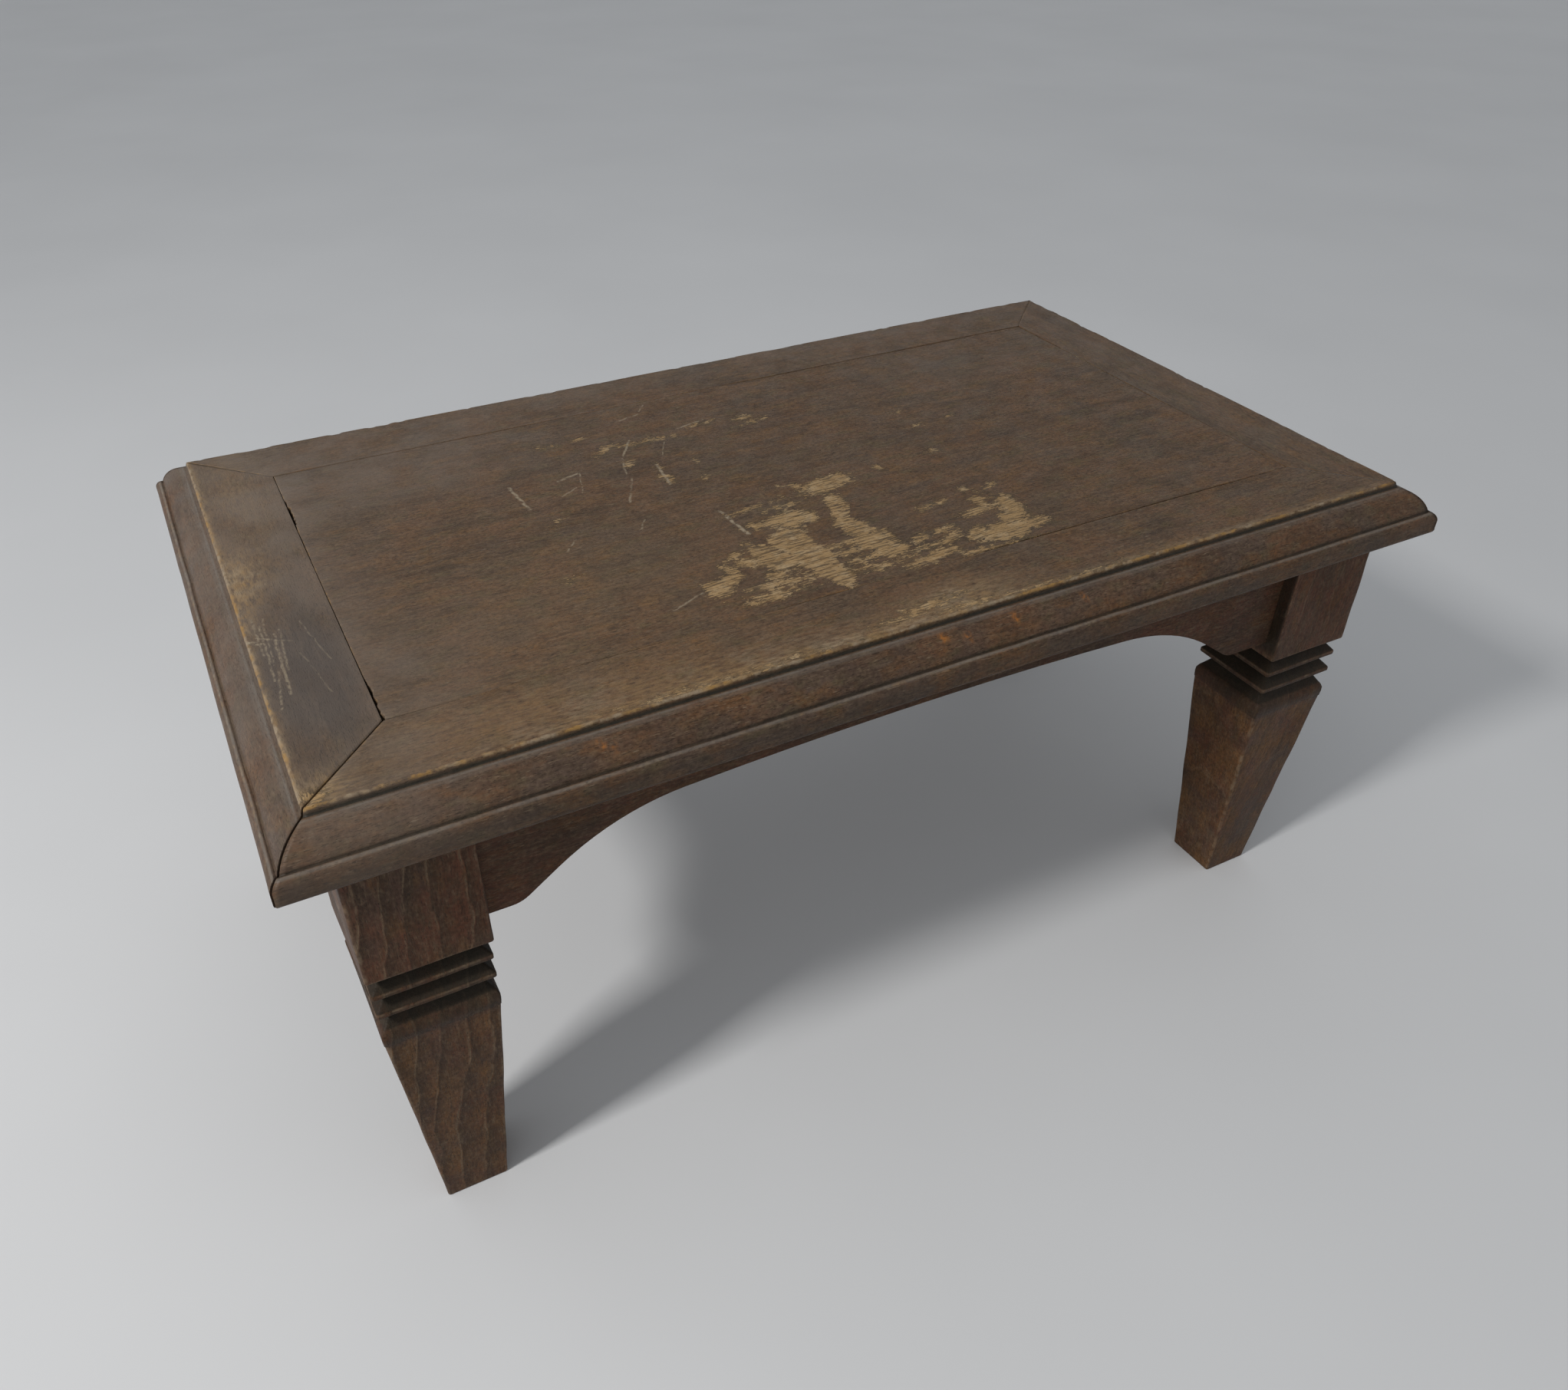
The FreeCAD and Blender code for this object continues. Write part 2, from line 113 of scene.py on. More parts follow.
def arc_through(start, middle, end, count):
    """Points on the arc through three points in a plane, both ends included."""
    (ax, ay), (bx, by), (cx, cy) = start, middle, end
    d = 2 * (ax * (by - cy) + bx * (cy - ay) + cx * (ay - by))
    a2, b2, c2 = ax * ax + ay * ay, bx * bx + by * by, cx * cx + cy * cy
    ux = (a2 * (by - cy) + b2 * (cy - ay) + c2 * (ay - by)) / d
    uy = (a2 * (cx - bx) + b2 * (ax - cx) + c2 * (bx - ax)) / d
    radius = math.hypot(ax - ux, ay - uy)
    first, via, last = (math.atan2(y - uy, x - ux) for x, y in (start, middle, end))
    sweep = (last - first) % (2 * math.pi)
    if (via - first) % (2 * math.pi) > sweep:
        sweep -= 2 * math.pi
    angles = first + sweep * np.linspace(0, 1, count)
    return [(ux + radius * math.cos(a), uy + radius * math.sin(a)) for a in angles]


def stretch(start, end, count):
    """Evenly spaced points on a straight line, both ends included."""
    start, end = np.array(start), np.array(end)
    return [tuple(start + (end - start) * t) for t in np.linspace(0, 1, count)]


def loft(name, loops, masks, material, node):
    """A closed mesh through a stack of closed loops, in place of a CAD node.

    loops is an array of loops by points by 3, in millimetres. masks maps names to arrays of loops by points.
    """
    loop_count, point_count = loops.shape[:2]
    index = np.arange(loop_count * point_count).reshape(loop_count, point_count)
    near, far = index[:-1], index[1:]
    near_next, far_next = np.roll(near, -1, axis=1), np.roll(far, -1, axis=1)
    quads = np.stack([near, near_next, far_next, far], axis=-1).reshape(-1, 4).tolist()
    faces = quads + [index[0][::-1].tolist(), index[-1].tolist()]
    mesh = bpy.data.meshes.new(name)
    mesh.from_pydata((loops.reshape(-1, 3) * MM).tolist(), [], faces)
    mesh.validate()
    mesh.polygons.foreach_set("use_smooth", [True] * (len(mesh.polygons) - 2) + [False, False])
    for mask_name, values in masks.items():
        attribute = mesh.attributes.new(mask_name, "FLOAT", "POINT")
        filled = np.broadcast_to(values, loops.shape[:2]).astype(np.float32)
        attribute.data.foreach_set("value", filled.ravel())
    mesh.materials.append(material)
    piece = bpy.data.objects.new(name, mesh)
    bpy.context.scene.collection.objects.link(piece)
    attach(piece, "root")
    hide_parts(node)
    return piece


def turned(points, quarter_turns):
    """Points turned about the upright axis by quarter turns."""
    x, y, z = points[..., 0], points[..., 1], points[..., 2]
    for _ in range(quarter_turns % 4):
        x, y = -y, x
    return np.stack([x, y, z], axis=-1)


# ---- Node helpers ----

class Shader:
    """A material's node tree, with short ways to add nodes to it."""

    def __init__(self, name):
        self.material = bpy.data.materials.new(name)
        self.material.use_nodes = True
        self.tree = self.material.node_tree
        self.tree.nodes.clear()

    def connect(self, socket, source):
        """Links a node's output to a socket, or sets the socket to a plain value."""
        if isinstance(source, bpy.types.NodeSocket):
            self.tree.links.new(source, socket)
        elif source is not None:
            socket.default_value = source

    def node(self, kind, inputs=None, output=0, **settings):
        """Adds a node, sets it up and returns one of its outputs."""
        made = self.tree.nodes.new("ShaderNode" + kind)
        for key, value in settings.items():
            setattr(made, key, value)
        for key, source in (inputs or {}).items():
            self.connect(made.inputs[key], source)
        return made.outputs[output]

    def math(self, operation, a, b=None, c=None, clamp=False):
        return self.node("Math", {0: a, 1: b, 2: c}, operation=operation, use_clamp=clamp)

    def vector(self, operation, a, b=None):
        return self.node("VectorMath", {0: a, 1: b}, operation=operation)

    def scaled(self, vector, factors):
        return self.vector("MULTIPLY", vector, factors)

    def noise(self, vector, scale, detail=2.0, roughness=0.5, distortion=0.0):
        settings = {"Vector": vector, "Scale": scale, "Detail": detail, "Roughness": roughness}
        settings["Distortion"] = distortion
        return self.node("TexNoise", settings)

    def ramp(self, value, low, high):
        """0 below low and 1 above high, straight between; low may be above high."""
        return self.node("MapRange", {"Value": value, "From Min": low, "From Max": high}, clamp=True)

    def mix(self, amount, a, b):
        """From colour a to colour b as amount goes from 0 to 1."""
        return self.node("Mix", {0: amount, 6: a, 7: b}, output=2, data_type="RGBA", clamp_factor=True)

    def attribute(self, name):
        return self.node("Attribute", output="Fac", attribute_name=name)

    def position(self):
        """The place of the shaded point in the frame, in millimetres."""
        return self.scaled(self.node("TexCoord", output="Object"), (1 / MM, 1 / MM, 1 / MM))

    def surface(self, base, roughness, specular, normal=None, metallic=None):
        """Joins the parts up into the material."""
        made = self.tree.nodes.new("ShaderNodeBsdfPrincipled")
        self.connect(made.inputs["Base Color"], base)
        self.connect(made.inputs["Roughness"], roughness)
        self.connect(made.inputs["Specular IOR Level"], specular)
        self.connect(made.inputs["Normal"], normal)
        self.connect(made.inputs["Metallic"], metallic)
        out = self.tree.nodes.new("ShaderNodeOutputMaterial")
        self.connect(out.inputs["Surface"], made.outputs[0])
        return self.material


# ---- The frame of the top ----

def rail_profile():
    """Points round a rail's section: place out from the arris, drop below the top, wear, grime with painted
    shade, and dust with a painted highlight.
    """
    points = []

    def add(places, wear=0.0, grime_and_shade=0.0, dust_and_highlight=0.0):
        points.extend((out, drop, wear, grime_and_shade, dust_and_highlight) for out, drop in places)

    inner = -RAIL_FLAT
    middle = (HEIGHT - UNDERSIDE) / 2
    add([(inner, 0.14), (inner + 0.04, 0.04)], wear=0.1)
    add([(inner + 0.15, 0.01)], wear=0.2)
    add(stretch((inner + 1.0, 0), (-1.6, 0), 18))
    add([(-0.9, 0)], wear=0.35)
    add([(-0.45, 0.03)], wear=0.8)
    add([(-0.18, 0.16), (-0.03, 0.42)], wear=1.0)
    add([(0.06, 0.8)], wear=0.6)
    # The step under the arris is darkened: grime and the painted shadow of the step
    add([(0.2, 1.25)], wear=0.2, grime_and_shade=0.6)
    add([(0.35, 1.8), (0.62, 2.16)], grime_and_shade=1.0)
    ovolo = arc_through((0.95, 2.2), (6.1, 4.8), (9.1, 9.1), 18)
    add(ovolo[:1], grime_and_shade=0.3)
    # A pale line on the ovolo's top: dust and a painted highlight
    add(ovolo[1:2], dust_and_highlight=1.0)
    add(ovolo[2:4], dust_and_highlight=0.35)
    add(ovolo[4:])
    # The quirk above the bead is darkened: grime and painted shade
    add([(9.3, 9.75), (9.45, 10.15), (9.75, 10.1)], grime_and_shade=0.75)
    bead = arc_through((10.05, 9.8), (11.5, 11.1), (12.1, 13.6), 11)
    add(bead[:1], grime_and_shade=0.4)
    # The bead's top: rubbed, with dust and a painted highlight
    add(bead[1:2], wear=0.4, dust_and_highlight=0.9)
    add(bead[2:3], wear=0.5, dust_and_highlight=0.7)
    add(bead[3:4])
    # The bead's underside and the face below it are darkened a little: grime and painted shade
    add(bead[4:], grime_and_shade=0.2)
    add([(12.1, 14.6), (12.1, 15.6)], grime_and_shade=0.25)
    add(arc_through((12.1, 16.4), (11.63, 17.53), (10.5, 18.0), 6), grime_and_shade=0.25)
    add(stretch((9.0, 18.0), (inner + 1.5, 18.0), 8))
    add([(inner + 0.3, 17.98), (inner, 17.6)])
    groove_floor = inner + GROOVE_DEPTH
    groove_bottom, groove_top = middle + GROOVE_HALF_WIDTH, middle - GROOVE_HALF_WIDTH
    # The groove is darkened: grime and painted shade
    add([(inner, groove_bottom), (groove_floor, groove_bottom)], grime_and_shade=0.5)
    add([(groove_floor, groove_top), (inner, groove_top)], grime_and_shade=0.5)
    add([(inner, 3.0), (inner, 1.5)], grime_and_shade=0.5)
    points = np.array(points)
    points[:, 0] = np.minimum(points[:, 0], MOULDING_WIDTH)
    points[:, 1] = np.clip(points[:, 1], 0, HEIGHT - UNDERSIDE)
    return points


def make_rail(name, quarter_turns, gaps, wear_amount, grime_and_shade_amount, material):
    """A moulded, mitred rail. gaps are the setbacks of its left and right ends, seen from outside."""
    half_length, half_depth = HALF_LENGTH, HALF_DEPTH
    if quarter_turns % 2:
        half_length, half_depth = HALF_DEPTH, HALF_LENGTH
    out, drop, wear, grime_and_shade, dust_and_highlight = rail_profile().T[:, None, :]
    t = np.linspace(0, 1, int(half_length / RAIL_STEP))[:, None]
    along = (2 * t - 1) * half_length
    noise_seed = quarter_turns * 11

    # The arris is rubbed and nicked a little here and there, and the mouldings are not perfectly even
    edge = smooth(wear, 0.3, 1.0) * (out < 1.0) * (out > -2.0)
    nick = smooth(wander(along, 3.1, noise_seed), 0.35, 1.0) * 0.4
    nick = nick + smooth(wander(along, 14.0, noise_seed + 3), 0.1, 1.0) * 0.3
    worn_drop = np.where(edge > 0, np.minimum(drop + edge * nick, np.maximum(drop, ARRIS_FOOT)), drop)
    uneven_side = smooth(out, 1.0, 3.0) * (worn_drop < 16)
    worn_out = out - 0.12 * (1 + wander(along, 9.0, noise_seed + 5)) * uneven_side

    y = -half_depth + MOULDING_WIDTH - worn_out
    left_end = -half_length + (y + half_depth) + gaps[0]
    right_end = half_length - (y + half_depth) - gaps[1]
    x = left_end + (right_end - left_end) * t
    whole = np.zeros_like(x)
    loops = turned(np.stack([x, y + whole, HEIGHT - worn_drop + whole], axis=-1), quarter_turns)
    flat = drop < 0.01
    loops[..., 2] -= 0.1 * (1 + undulation(loops, 60.0, 40 + quarter_turns)) * flat
    ends = 1 - smooth(np.minimum(x - left_end, right_end - x), 0.0, 1.2)
    masks = {
        "wear": np.maximum(wear * wear_amount, 0.5 * ends * flat),
        "grime_and_shade": grime_and_shade * grime_and_shade_amount + whole,
        "dust_and_highlight": dust_and_highlight + whole,
        "moulded": smooth(out, 0.3, 1.2) + whole,
    }
    masks.update(rail_marks(name, loops, drop < RAIL_UPPER, (out < 0.05) * (drop < 0.9)))
    return loft("wood_" + name, loops, masks, material, name)


def rail_marks(name, loops, upper, flat):
    """Bare, thin and stained areas on a rail, and where a grey sheen is painted. upper and flat pick out its
    upper side and flat top.
    """
    x, y = loops[..., 0], loops[..., 1]
    marks = {"painted_sheen": spread_field(x, y, PAINTED_SHEEN_AREAS) * upper, "thin": spread_field(x, y, THIN) * flat}
    if name == "left_rail":
        marks["stain"] = spread_field(x, y, LEFT_RAIL_STAIN) * upper
        marks["bare"] = blob_field(x, y, LEFT_RAIL_BARE) * flat
    if name == "front_rail":
        marks["bare"] = blob_field(x, y, FRONT_RAIL_BARE) * flat
        marks["fleck"] = smooth(blob_field(x, y, FRONT_RAIL_FLECKS), 0.48, 0.56) * upper
    return marks


# ---- Where the finish is worn through ----
# Each area is an ellipse: middle x, middle y, half length, half width, and turn in degrees from +X

PANEL_BARE = [
    (9, -15, 10.5, 5, 12),
    (-1, -17, 4, 1.6, 10),
    (5, -27, 3.5, 4, 0),
    (2, -35, 3, 7, -25),
    (0, -42, 4, 5, 0),
    (-15, -32, 10, 5.5, 0),
    (-25, -30.5, 5, 2, 0),
    (-21, -44, 7, 8, 0),
    (-20, -54, 7, 9, 0),
    (-19, -64, 5.5, 10, 0),
    (-18, -72, 4.5, 6, 0),
    (-31, -54, 6, 6, 0),
    (-33, -46, 4, 4, 0),
    (-40, -50.5, 4.5, 2.8, 0),
    (-42, -45, 5, 1.5, 35),
    (-55, -60, 4.5, 5, 0),
    (-50, -57, 4.5, 3, 0),
    (-47, -52, 2.5, 3, 0),
    (-38, -66, 9.5, 2.6, -5),
    (-41, -71.5, 9, 2.3, -3),
    (-33, -61.5, 5, 2, 0),
    (2, -48, 5.5, 5, 0),
    (3, -56, 7, 6, 0),
    (4, -64, 6.5, 4, 0),
    (-7, -53.5, 7, 1.4, 0),
    (-8, -59, 7, 1.6, 0),
    (-8, -65, 6, 1.8, 0),
    (-5, -71, 9, 1.8, 0),
    (18, -62, 8, 1.4, 5),
    (26, -61, 4, 1.4, 10),
    (16, -68, 7, 1.7, 10),
    (27, -66, 5, 1.7, 25),
    (14, -74, 9, 2.4, 12),
    (44, -71, 11, 5.5, 0),
    (36, -69, 5, 4, 0),
    (56, -70, 5.5, 2.5, 0),
    (56, -58, 4, 8, -10),
    (52, -64, 5, 4, 0),
    (45, -55, 6, 2.6, 10),
    (49, -48, 3, 2, 0),
    (57, -42.5, 4, 1.3, 20),
    (30, -77.5, 7, 1.3, 0),
    (44, -80, 7, 1.6, 0),
]
PANEL_MARKS = [
    (-5, -10.5, 3.5, 0.7, -20),
    (31, -11.5, 1.6, 2.2, 0),
    (57, -10, 2.0, 0.9, 15),
    (-50, 46, 4.5, 1.8, 40),
    (7, 48, 3.0, 1.6, 20),
    (-22, 45, 1.2, 1.0, 0),
    (-5, 51, 1.5, 0.7, 30),
    (-56, 58, 1.8, 0.8, 0),
    (62, 11, 1.6, 0.7, 20),
    (79, 13, 1.4, 0.6, 0),
    (27, 11, 1.0, 0.8, 0),
    (-92, -34, 2.0, 0.6, 35),
    (33, -45, 4.0, 1.1, 10),
    (-20, -18.5, 7.0, 0.9, 8),
    (-14, -23, 5.0, 0.9, 8),
    (-38, 46, 4.5, 0.9, 0),
    (-30, 45.5, 2.2, 0.8, -10),
    (-39, 14, 1.0, 3.2, 10),
    (-38, 24, 0.9, 2.2, 0),
    (-47, 31, 1.6, 2.4, -20),
    (-13, 50, 2.6, 0.8, 20),
    (-68, 58, 1.6, 0.7, 0),
    (9, 43, 4.2, 1.2, 15),
    (-24, 22, 1.0, 1.6, 0),
    (-26, 8, 0.8, 1.2, 0),
    (-84, 2, 2.2, 1.0, 30),
    (63, 26, 2.0, 0.8, 10),
    (49, -40, 1.4, 1.2, 0),
]
# Where small flecks have come away here and there, as soft areas like those below
PANEL_FLECKED = [
    (-12, 8, 75, 62, 0.28),
    (60, -20, 50, 50, 0.22),
]
FRONT_RAIL_BARE = [
    (-2, -97, 8, 2.0, 4),
    (8, -102, 7, 1.2, 0),
    (-14, -100, 5, 0.8, 0),
    (-60, -103.5, 9, 0.5, 0),
    (-92, -103, 7, 0.5, 0),
    (38, -103.8, 8, 0.5, 0),
    (-184, -102, 3, 2.2, 45),
]
LEFT_RAIL_BARE = [
    (-186, -101, 2.5, 2.0, 45),
]
# Soft areas: middle x, middle y, half widths along x and y, and strength
THIN = [
    (-183, 12, 9, 18, 1.0),
    (-185, -8, 4, 22, 0.6),
    (-187.4, -10, 1.3, 60, 0.9),
    (-187.4, -70, 1.3, 60, 0.9),
    (-187.4, 80, 1.3, 60, 0.9),
    (-176, 75, 14, 50, 0.3),
    (-181, -99, 8, 7, 0.9),
    (-50, -103, 95, 3.2, 0.85),
    (8, -97, 22, 9, 0.75),
    (110, -104, 120, 2.0, 0.6),
    (-60, -98, 70, 7, 0.35),
    (-120, -92, 60, 16, 0.35),
    (-90, -45, 60, 40, 0.16),
]
# Areas where a grey sheen of the window and wall light is painted onto the top, strongest on the left
PAINTED_SHEEN_AREAS = [
    (-177, 0, 30, 170, 1.0),
    (-125, 72, 65, 42, 0.75),
    (-150, -60, 45, 45, 0.4),
    (20, 104, 240, 16, 0.5),
    (182, 0, 26, 130, 0.3),
    (110, 60, 60, 40, 0.25),
]
LEFT_RAIL_STAIN = [
    (-174, -45, 16, 46, 1.0),
    (-176, -60, 14, 40, 0.6),
]
FRONT_RAIL_FLECKS = [
    (-113, -110, 0.9, 2.0, 15),
    (-110, -111, 0.7, 1.6, 20),
    (-6, -109.5, 1.6, 1.8, 0),
    (2, -111, 1.2, 1.6, 0),
    (20, -110, 1.4, 1.8, 0),
    (46, -110, 0.8, 1.6, 10),
    (-70, -111, 0.6, 1.5, 0),
]
FIELD_REACH = 8.0


def blob_field(x, y, blobs):
    """How far inside the nearest area a place is: 0.5 on an edge, and 0 or 1 at FIELD_REACH from it."""
    best = np.full(np.broadcast(x, y).shape, -FIELD_REACH)
    for middle_x, middle_y, half_length, half_width, degrees in blobs:
        c, s = math.cos(math.radians(degrees)), math.sin(math.radians(degrees))
        dx, dy = x - middle_x, y - middle_y
        u, v = (c * dx + s * dy) / half_length, (c * dy - s * dx) / half_width
        away = np.sqrt(u * u + v * v)
        best = np.maximum(best, (1 - away) * min(half_length, half_width))
    return np.clip(0.5 + 0.5 * best / FIELD_REACH, 0, 1)


def spread_field(x, y, areas):
    """Soft areas added together, from 0 to 1: each is a middle, two half widths and a strength."""
    total = np.zeros(np.broadcast(x, y).shape)
    for middle_x, middle_y, half_x, half_y, strength in areas:
        away = ((x - middle_x) / half_x) ** 2 + ((y - middle_y) / half_y) ** 2
        total = total + strength * np.exp(-1.5 * away)
    return np.clip(total, 0, 1)


# ---- The panel ----

# How much closer to the rails the panel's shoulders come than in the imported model
JOINT_CLOSING = 0.22
# How far in from the panel's edges its even rows of points start, and how many rows there are
PANEL_MARGIN = 1.2
ROWS_ALONG = 270
ROWS_ACROSS = 130
ROWS_BELOW = 28


def panel_section():
    """Points round the panel's section as y, height and wear, the top first."""
    half = PANEL_HIGH[1] - TONGUE_LENGTH + JOINT_CLOSING
    middle = (PANEL_HIGH[2] + UNDERSIDE) / 2
    tongue_top, tongue_bottom = middle + TONGUE_HALF_THICKNESS, middle - TONGUE_HALF_THICKNESS
    top = [(y, HEIGHT, 0.0) for y in np.linspace(PANEL_MARGIN - half, half - PANEL_MARGIN, ROWS_ACROSS)]
    rear_side = [
        (half - 0.2, HEIGHT, 0.3),
        (half - 0.04, HEIGHT - 0.04, 0.3),
        (half, HEIGHT - 0.14, 0.1),
        (half, HEIGHT - 3.0, 0.0),
        (half, tongue_top, 0.0),
        (PANEL_HIGH[1], tongue_top - 0.1, 0.0),
        (PANEL_HIGH[1], tongue_bottom + 0.1, 0.0),
        (half, tongue_bottom, 0.0),
        (half, UNDERSIDE + 2.0, 0.0),
        (half, UNDERSIDE + 0.3, 0.0),
        (half - 0.3, UNDERSIDE, 0.0),
    ]
    underside = [(y, UNDERSIDE, 0.0) for y in np.linspace(half - 2.0, 2.0 - half, ROWS_BELOW)]
    front_side = [(-y, z, wear) for y, z, wear in reversed(rear_side)]
    return np.array(top + rear_side + underside + front_side)


def left_joint_gap(y):
    """How far the panel has shrunk back from the left rail, by place along the joint."""
    rear = smooth(y, 34, 42) * smooth(y, 60, 54)
    front = smooth(y, -84, -78) * smooth(y, -56, -66)
    crumbled = 0.55 + 0.45 * wander(y, 1.3, 71)
    return 0.1 + np.maximum(1.3 * rear, 0.95 * front) * crumbled + 0.08 * wander(y, 9.0, 72)


def front_joint_gap(x):
    """How far the panel has shrunk back from the front rail, by place along the joint."""
    return 0.2 + 0.3 * smooth(x, 10, 60) * smooth(x, 162, 150) * (0.7 + 0.3 * wander(x, 3.0, 73))


def make_panel(material):
    section = panel_section()
    board_low = PANEL_LOW[0] + TONGUE_LENGTH - JOINT_CLOSING
    board_high = PANEL_HIGH[0] - TONGUE_LENGTH + JOINT_CLOSING
    length = board_high - board_low
    end_steps = np.array([0.0, 0.05, 0.25])
    even_steps = np.linspace(PANEL_MARGIN, length - PANEL_MARGIN, ROWS_ALONG)
    steps = np.concatenate([end_steps, even_steps, length - end_steps[::-1]])
    from_end = np.minimum(steps, length - steps)
    edge_drop = np.interp(from_end, end_steps, [0.3, 0.08, 0.0])[:, None]
    y, z = section[None, :, 0], section[None, :, 1]
    gap = left_joint_gap(y)
    x = board_low + gap + (length - gap) * (steps / length)[:, None]
    on_top = z > HEIGHT - 1.0
    front_shoulder = -PANEL_HIGH[1] + TONGUE_LENGTH
    front_edge = smooth(y, front_shoulder + 3, front_shoulder) * (z > HEIGHT - 4)
    body_loops = np.stack([x, y + front_joint_gap(x) * front_edge, z - edge_drop * on_top], axis=-1)
    body_loops[..., 2] -= 0.12 * (1 + undulation(body_loops, 70.0, 50)) * on_top

    # Beyond the shoulders only the tongue goes on
    middle = (PANEL_HIGH[2] + UNDERSIDE) / 2
    shrink = TONGUE_HALF_THICKNESS / (HEIGHT - middle)

    def tongue_end(place):
        return np.stack([
            np.full_like(section[:, 0], place),
            section[:, 0],
            middle + (section[:, 1] - middle) * shrink,
        ], axis=-1)

    def tongue_root(shoulder, step):
        root = shoulder.copy()
        root[:, 0] += step
        root[:, 2] = middle + (root[:, 2] - middle) * shrink
        return root

    loops = np.concatenate([
        [tongue_end(PANEL_LOW[0]), tongue_root(body_loops[0], -0.03)],
        body_loops,
        [tongue_root(body_loops[-1], 0.03), tongue_end(PANEL_HIGH[0])],
    ])
    worn = section[None, :, 2] + np.zeros(loops.shape[:2])
    end_wear = 0.5 * (1 - smooth(from_end, 0.0, 0.8))
    worn[2:-2] = np.maximum(worn[2:-2], end_wear[:, None] * on_top)
    # From right to left, so that the faces look outwards
    loops, worn = loops[::-1], worn[::-1]
    across, back = loops[..., 0], loops[..., 1]
    bare = np.maximum(blob_field(across, back, PANEL_BARE), blob_field(across, back, PANEL_MARKS))
    bare = np.maximum(bare, spread_field(across, back, PANEL_FLECKED))
    upper = loops[..., 2] > HEIGHT - 2.0
    masks = {
        "wear": worn,
        "bare": bare * upper,
        # A grey sheen painted onto the top's upper side
        "painted_sheen": spread_field(across, back, PAINTED_SHEEN_AREAS) * upper,
        "thin": spread_field(across, back, THIN) * upper,
    }
    return loft("wood_top_panel", loops, masks, material, "top_panel")


# ---- The legs ----

BLOCK_BOTTOM = 116.5
RING_PITCH = 7.7
RING_EDGE = 1.6
RING_INSET = 0.8
UNDERCUT = 5.4
UNDERCUT_WALL = 1.4
LIP_INSET = 1.8
TAPER_TOP = 89.0
TAPER_INSET = 1.0
FOOT = 20.5
CORNER_RADIUS = 0.8
SIDE_POINTS = 12
CORNER_POINTS = 4
TAPER_LEVELS = 38
LEG_CENTRES = {
    "front_left": (-166.75, -88.9),
    "front_right": (166.75, -88.9),
    "rear_left": (-166.75, 88.9),
    "rear_right": (166.75, 88.9),
}
FRONT_RIGHT_LEG_STAIN = [(168, 30, 14, 18, 0.7), (172, 45, 8, 10, 0.4)]


def leg_levels():
    """Levels down a leg to the start of its taper: height, inset from the block's faces, wear, and grime
    with painted shade.
    """
    # Under the top the leg is darkened a little: grime and painted shade
    levels = [(UNDERSIDE, 0.25, 0.2, 0.3), (UNDERSIDE - 0.4, 0.03, 0.2, 0.2)]
    levels += [(z, 0.0, 0.0, 0.0) for z in np.linspace(UNDERSIDE - 2.0, BLOCK_BOTTOM + 2.0, 20)]
    levels += [
        (BLOCK_BOTTOM + 0.8, 0.0, 0.2, 0.0),
        (BLOCK_BOTTOM + 0.35, 0.03, 0.5, 0.0),
        (BLOCK_BOTTOM + 0.1, 0.15, 0.4, 0.2),
    ]
    for groove in range(3):
        ceiling = BLOCK_BOTTOM - groove * RING_PITCH
        bottom = ceiling - RING_PITCH + RING_EDGE
        above = 0.0 if groove == 0 else RING_INSET
        below = LIP_INSET if groove == 2 else RING_INSET
        # The undercut of each groove is darkened: grime and painted shade
        levels += [(ceiling, above + 0.4, 0.1, 0.5), (ceiling, 2.5, 0.0, 0.9)]
        levels += [(ceiling, UNDERCUT - 0.1, 0.0, 1.0), (ceiling - 0.7, UNDERCUT, 0.0, 1.0)]
        for share in (0.0, 0.25, 0.5, 0.75, 0.93):
            height = (1 - share) * (ceiling - UNDERCUT_WALL) + share * bottom
            levels.append((height, (1 - share) * UNDERCUT + share * below, 0.0, 0.95 - 0.1 * share))
        if groove < 2:
            levels += [(bottom + 0.08, below + 0.1, 0.4, 0.3), (bottom - 0.25, below, 0.6, 0.3)]
            levels += [(bottom - 0.8, below, 0.2, 0.4), (bottom - RING_EDGE + 0.3, below, 0.3, 0.4)]
            levels += [(bottom - RING_EDGE + 0.1, below + 0.12, 0.5, 0.5)]
    # The shoulder, dull down to a clear line where the taper starts, its facets darkened with grime and
    # painted shade
    levels += [
        (94.9, 1.65, 0.15, 0.55),
        (94.2, 1.2, 0.1, 0.5),
        (93.2, 0.75, 0.1, 0.5),
        (91.6, 0.68, 0.0, 0.5),
        (TAPER_TOP + 0.35, 0.8, 0.0, 0.35),
        (TAPER_TOP + 0.2, 0.98, 0.0, 0.75),
        (TAPER_TOP + 0.05, 0.98, 0.0, 0.1),
    ]
    return levels


def rounded_rectangle(half_x, half_y):
    """A closed loop round a rectangle with round corners, from the front left corner anticlockwise."""
    near_corner = 0.02
    inner_half = np.array([half_x, half_y]) - CORNER_RADIUS
    corners = [np.array(signs) * inner_half for signs in ((-1, -1), (1, -1), (1, 1), (-1, 1))]

    def on_corner(turn, angle):
        return corners[turn % 4] + CORNER_RADIUS * np.array([math.cos(angle), math.sin(angle)])

    points = []
    for turn in range(4):
        angle = math.pi * (1.0 + 0.5 * turn)
        points += [on_corner(turn, angle + a) for a in np.linspace(0, math.pi / 2, CORNER_POINTS)]
        side_start, side_end = points[-1], on_corner(turn + 1, angle + math.pi / 2)
        shares = np.linspace(near_corner, 1 - near_corner, SIDE_POINTS - 1)
        points += [side_start + (side_end - side_start) * share for share in shares]
    return np.array(points)


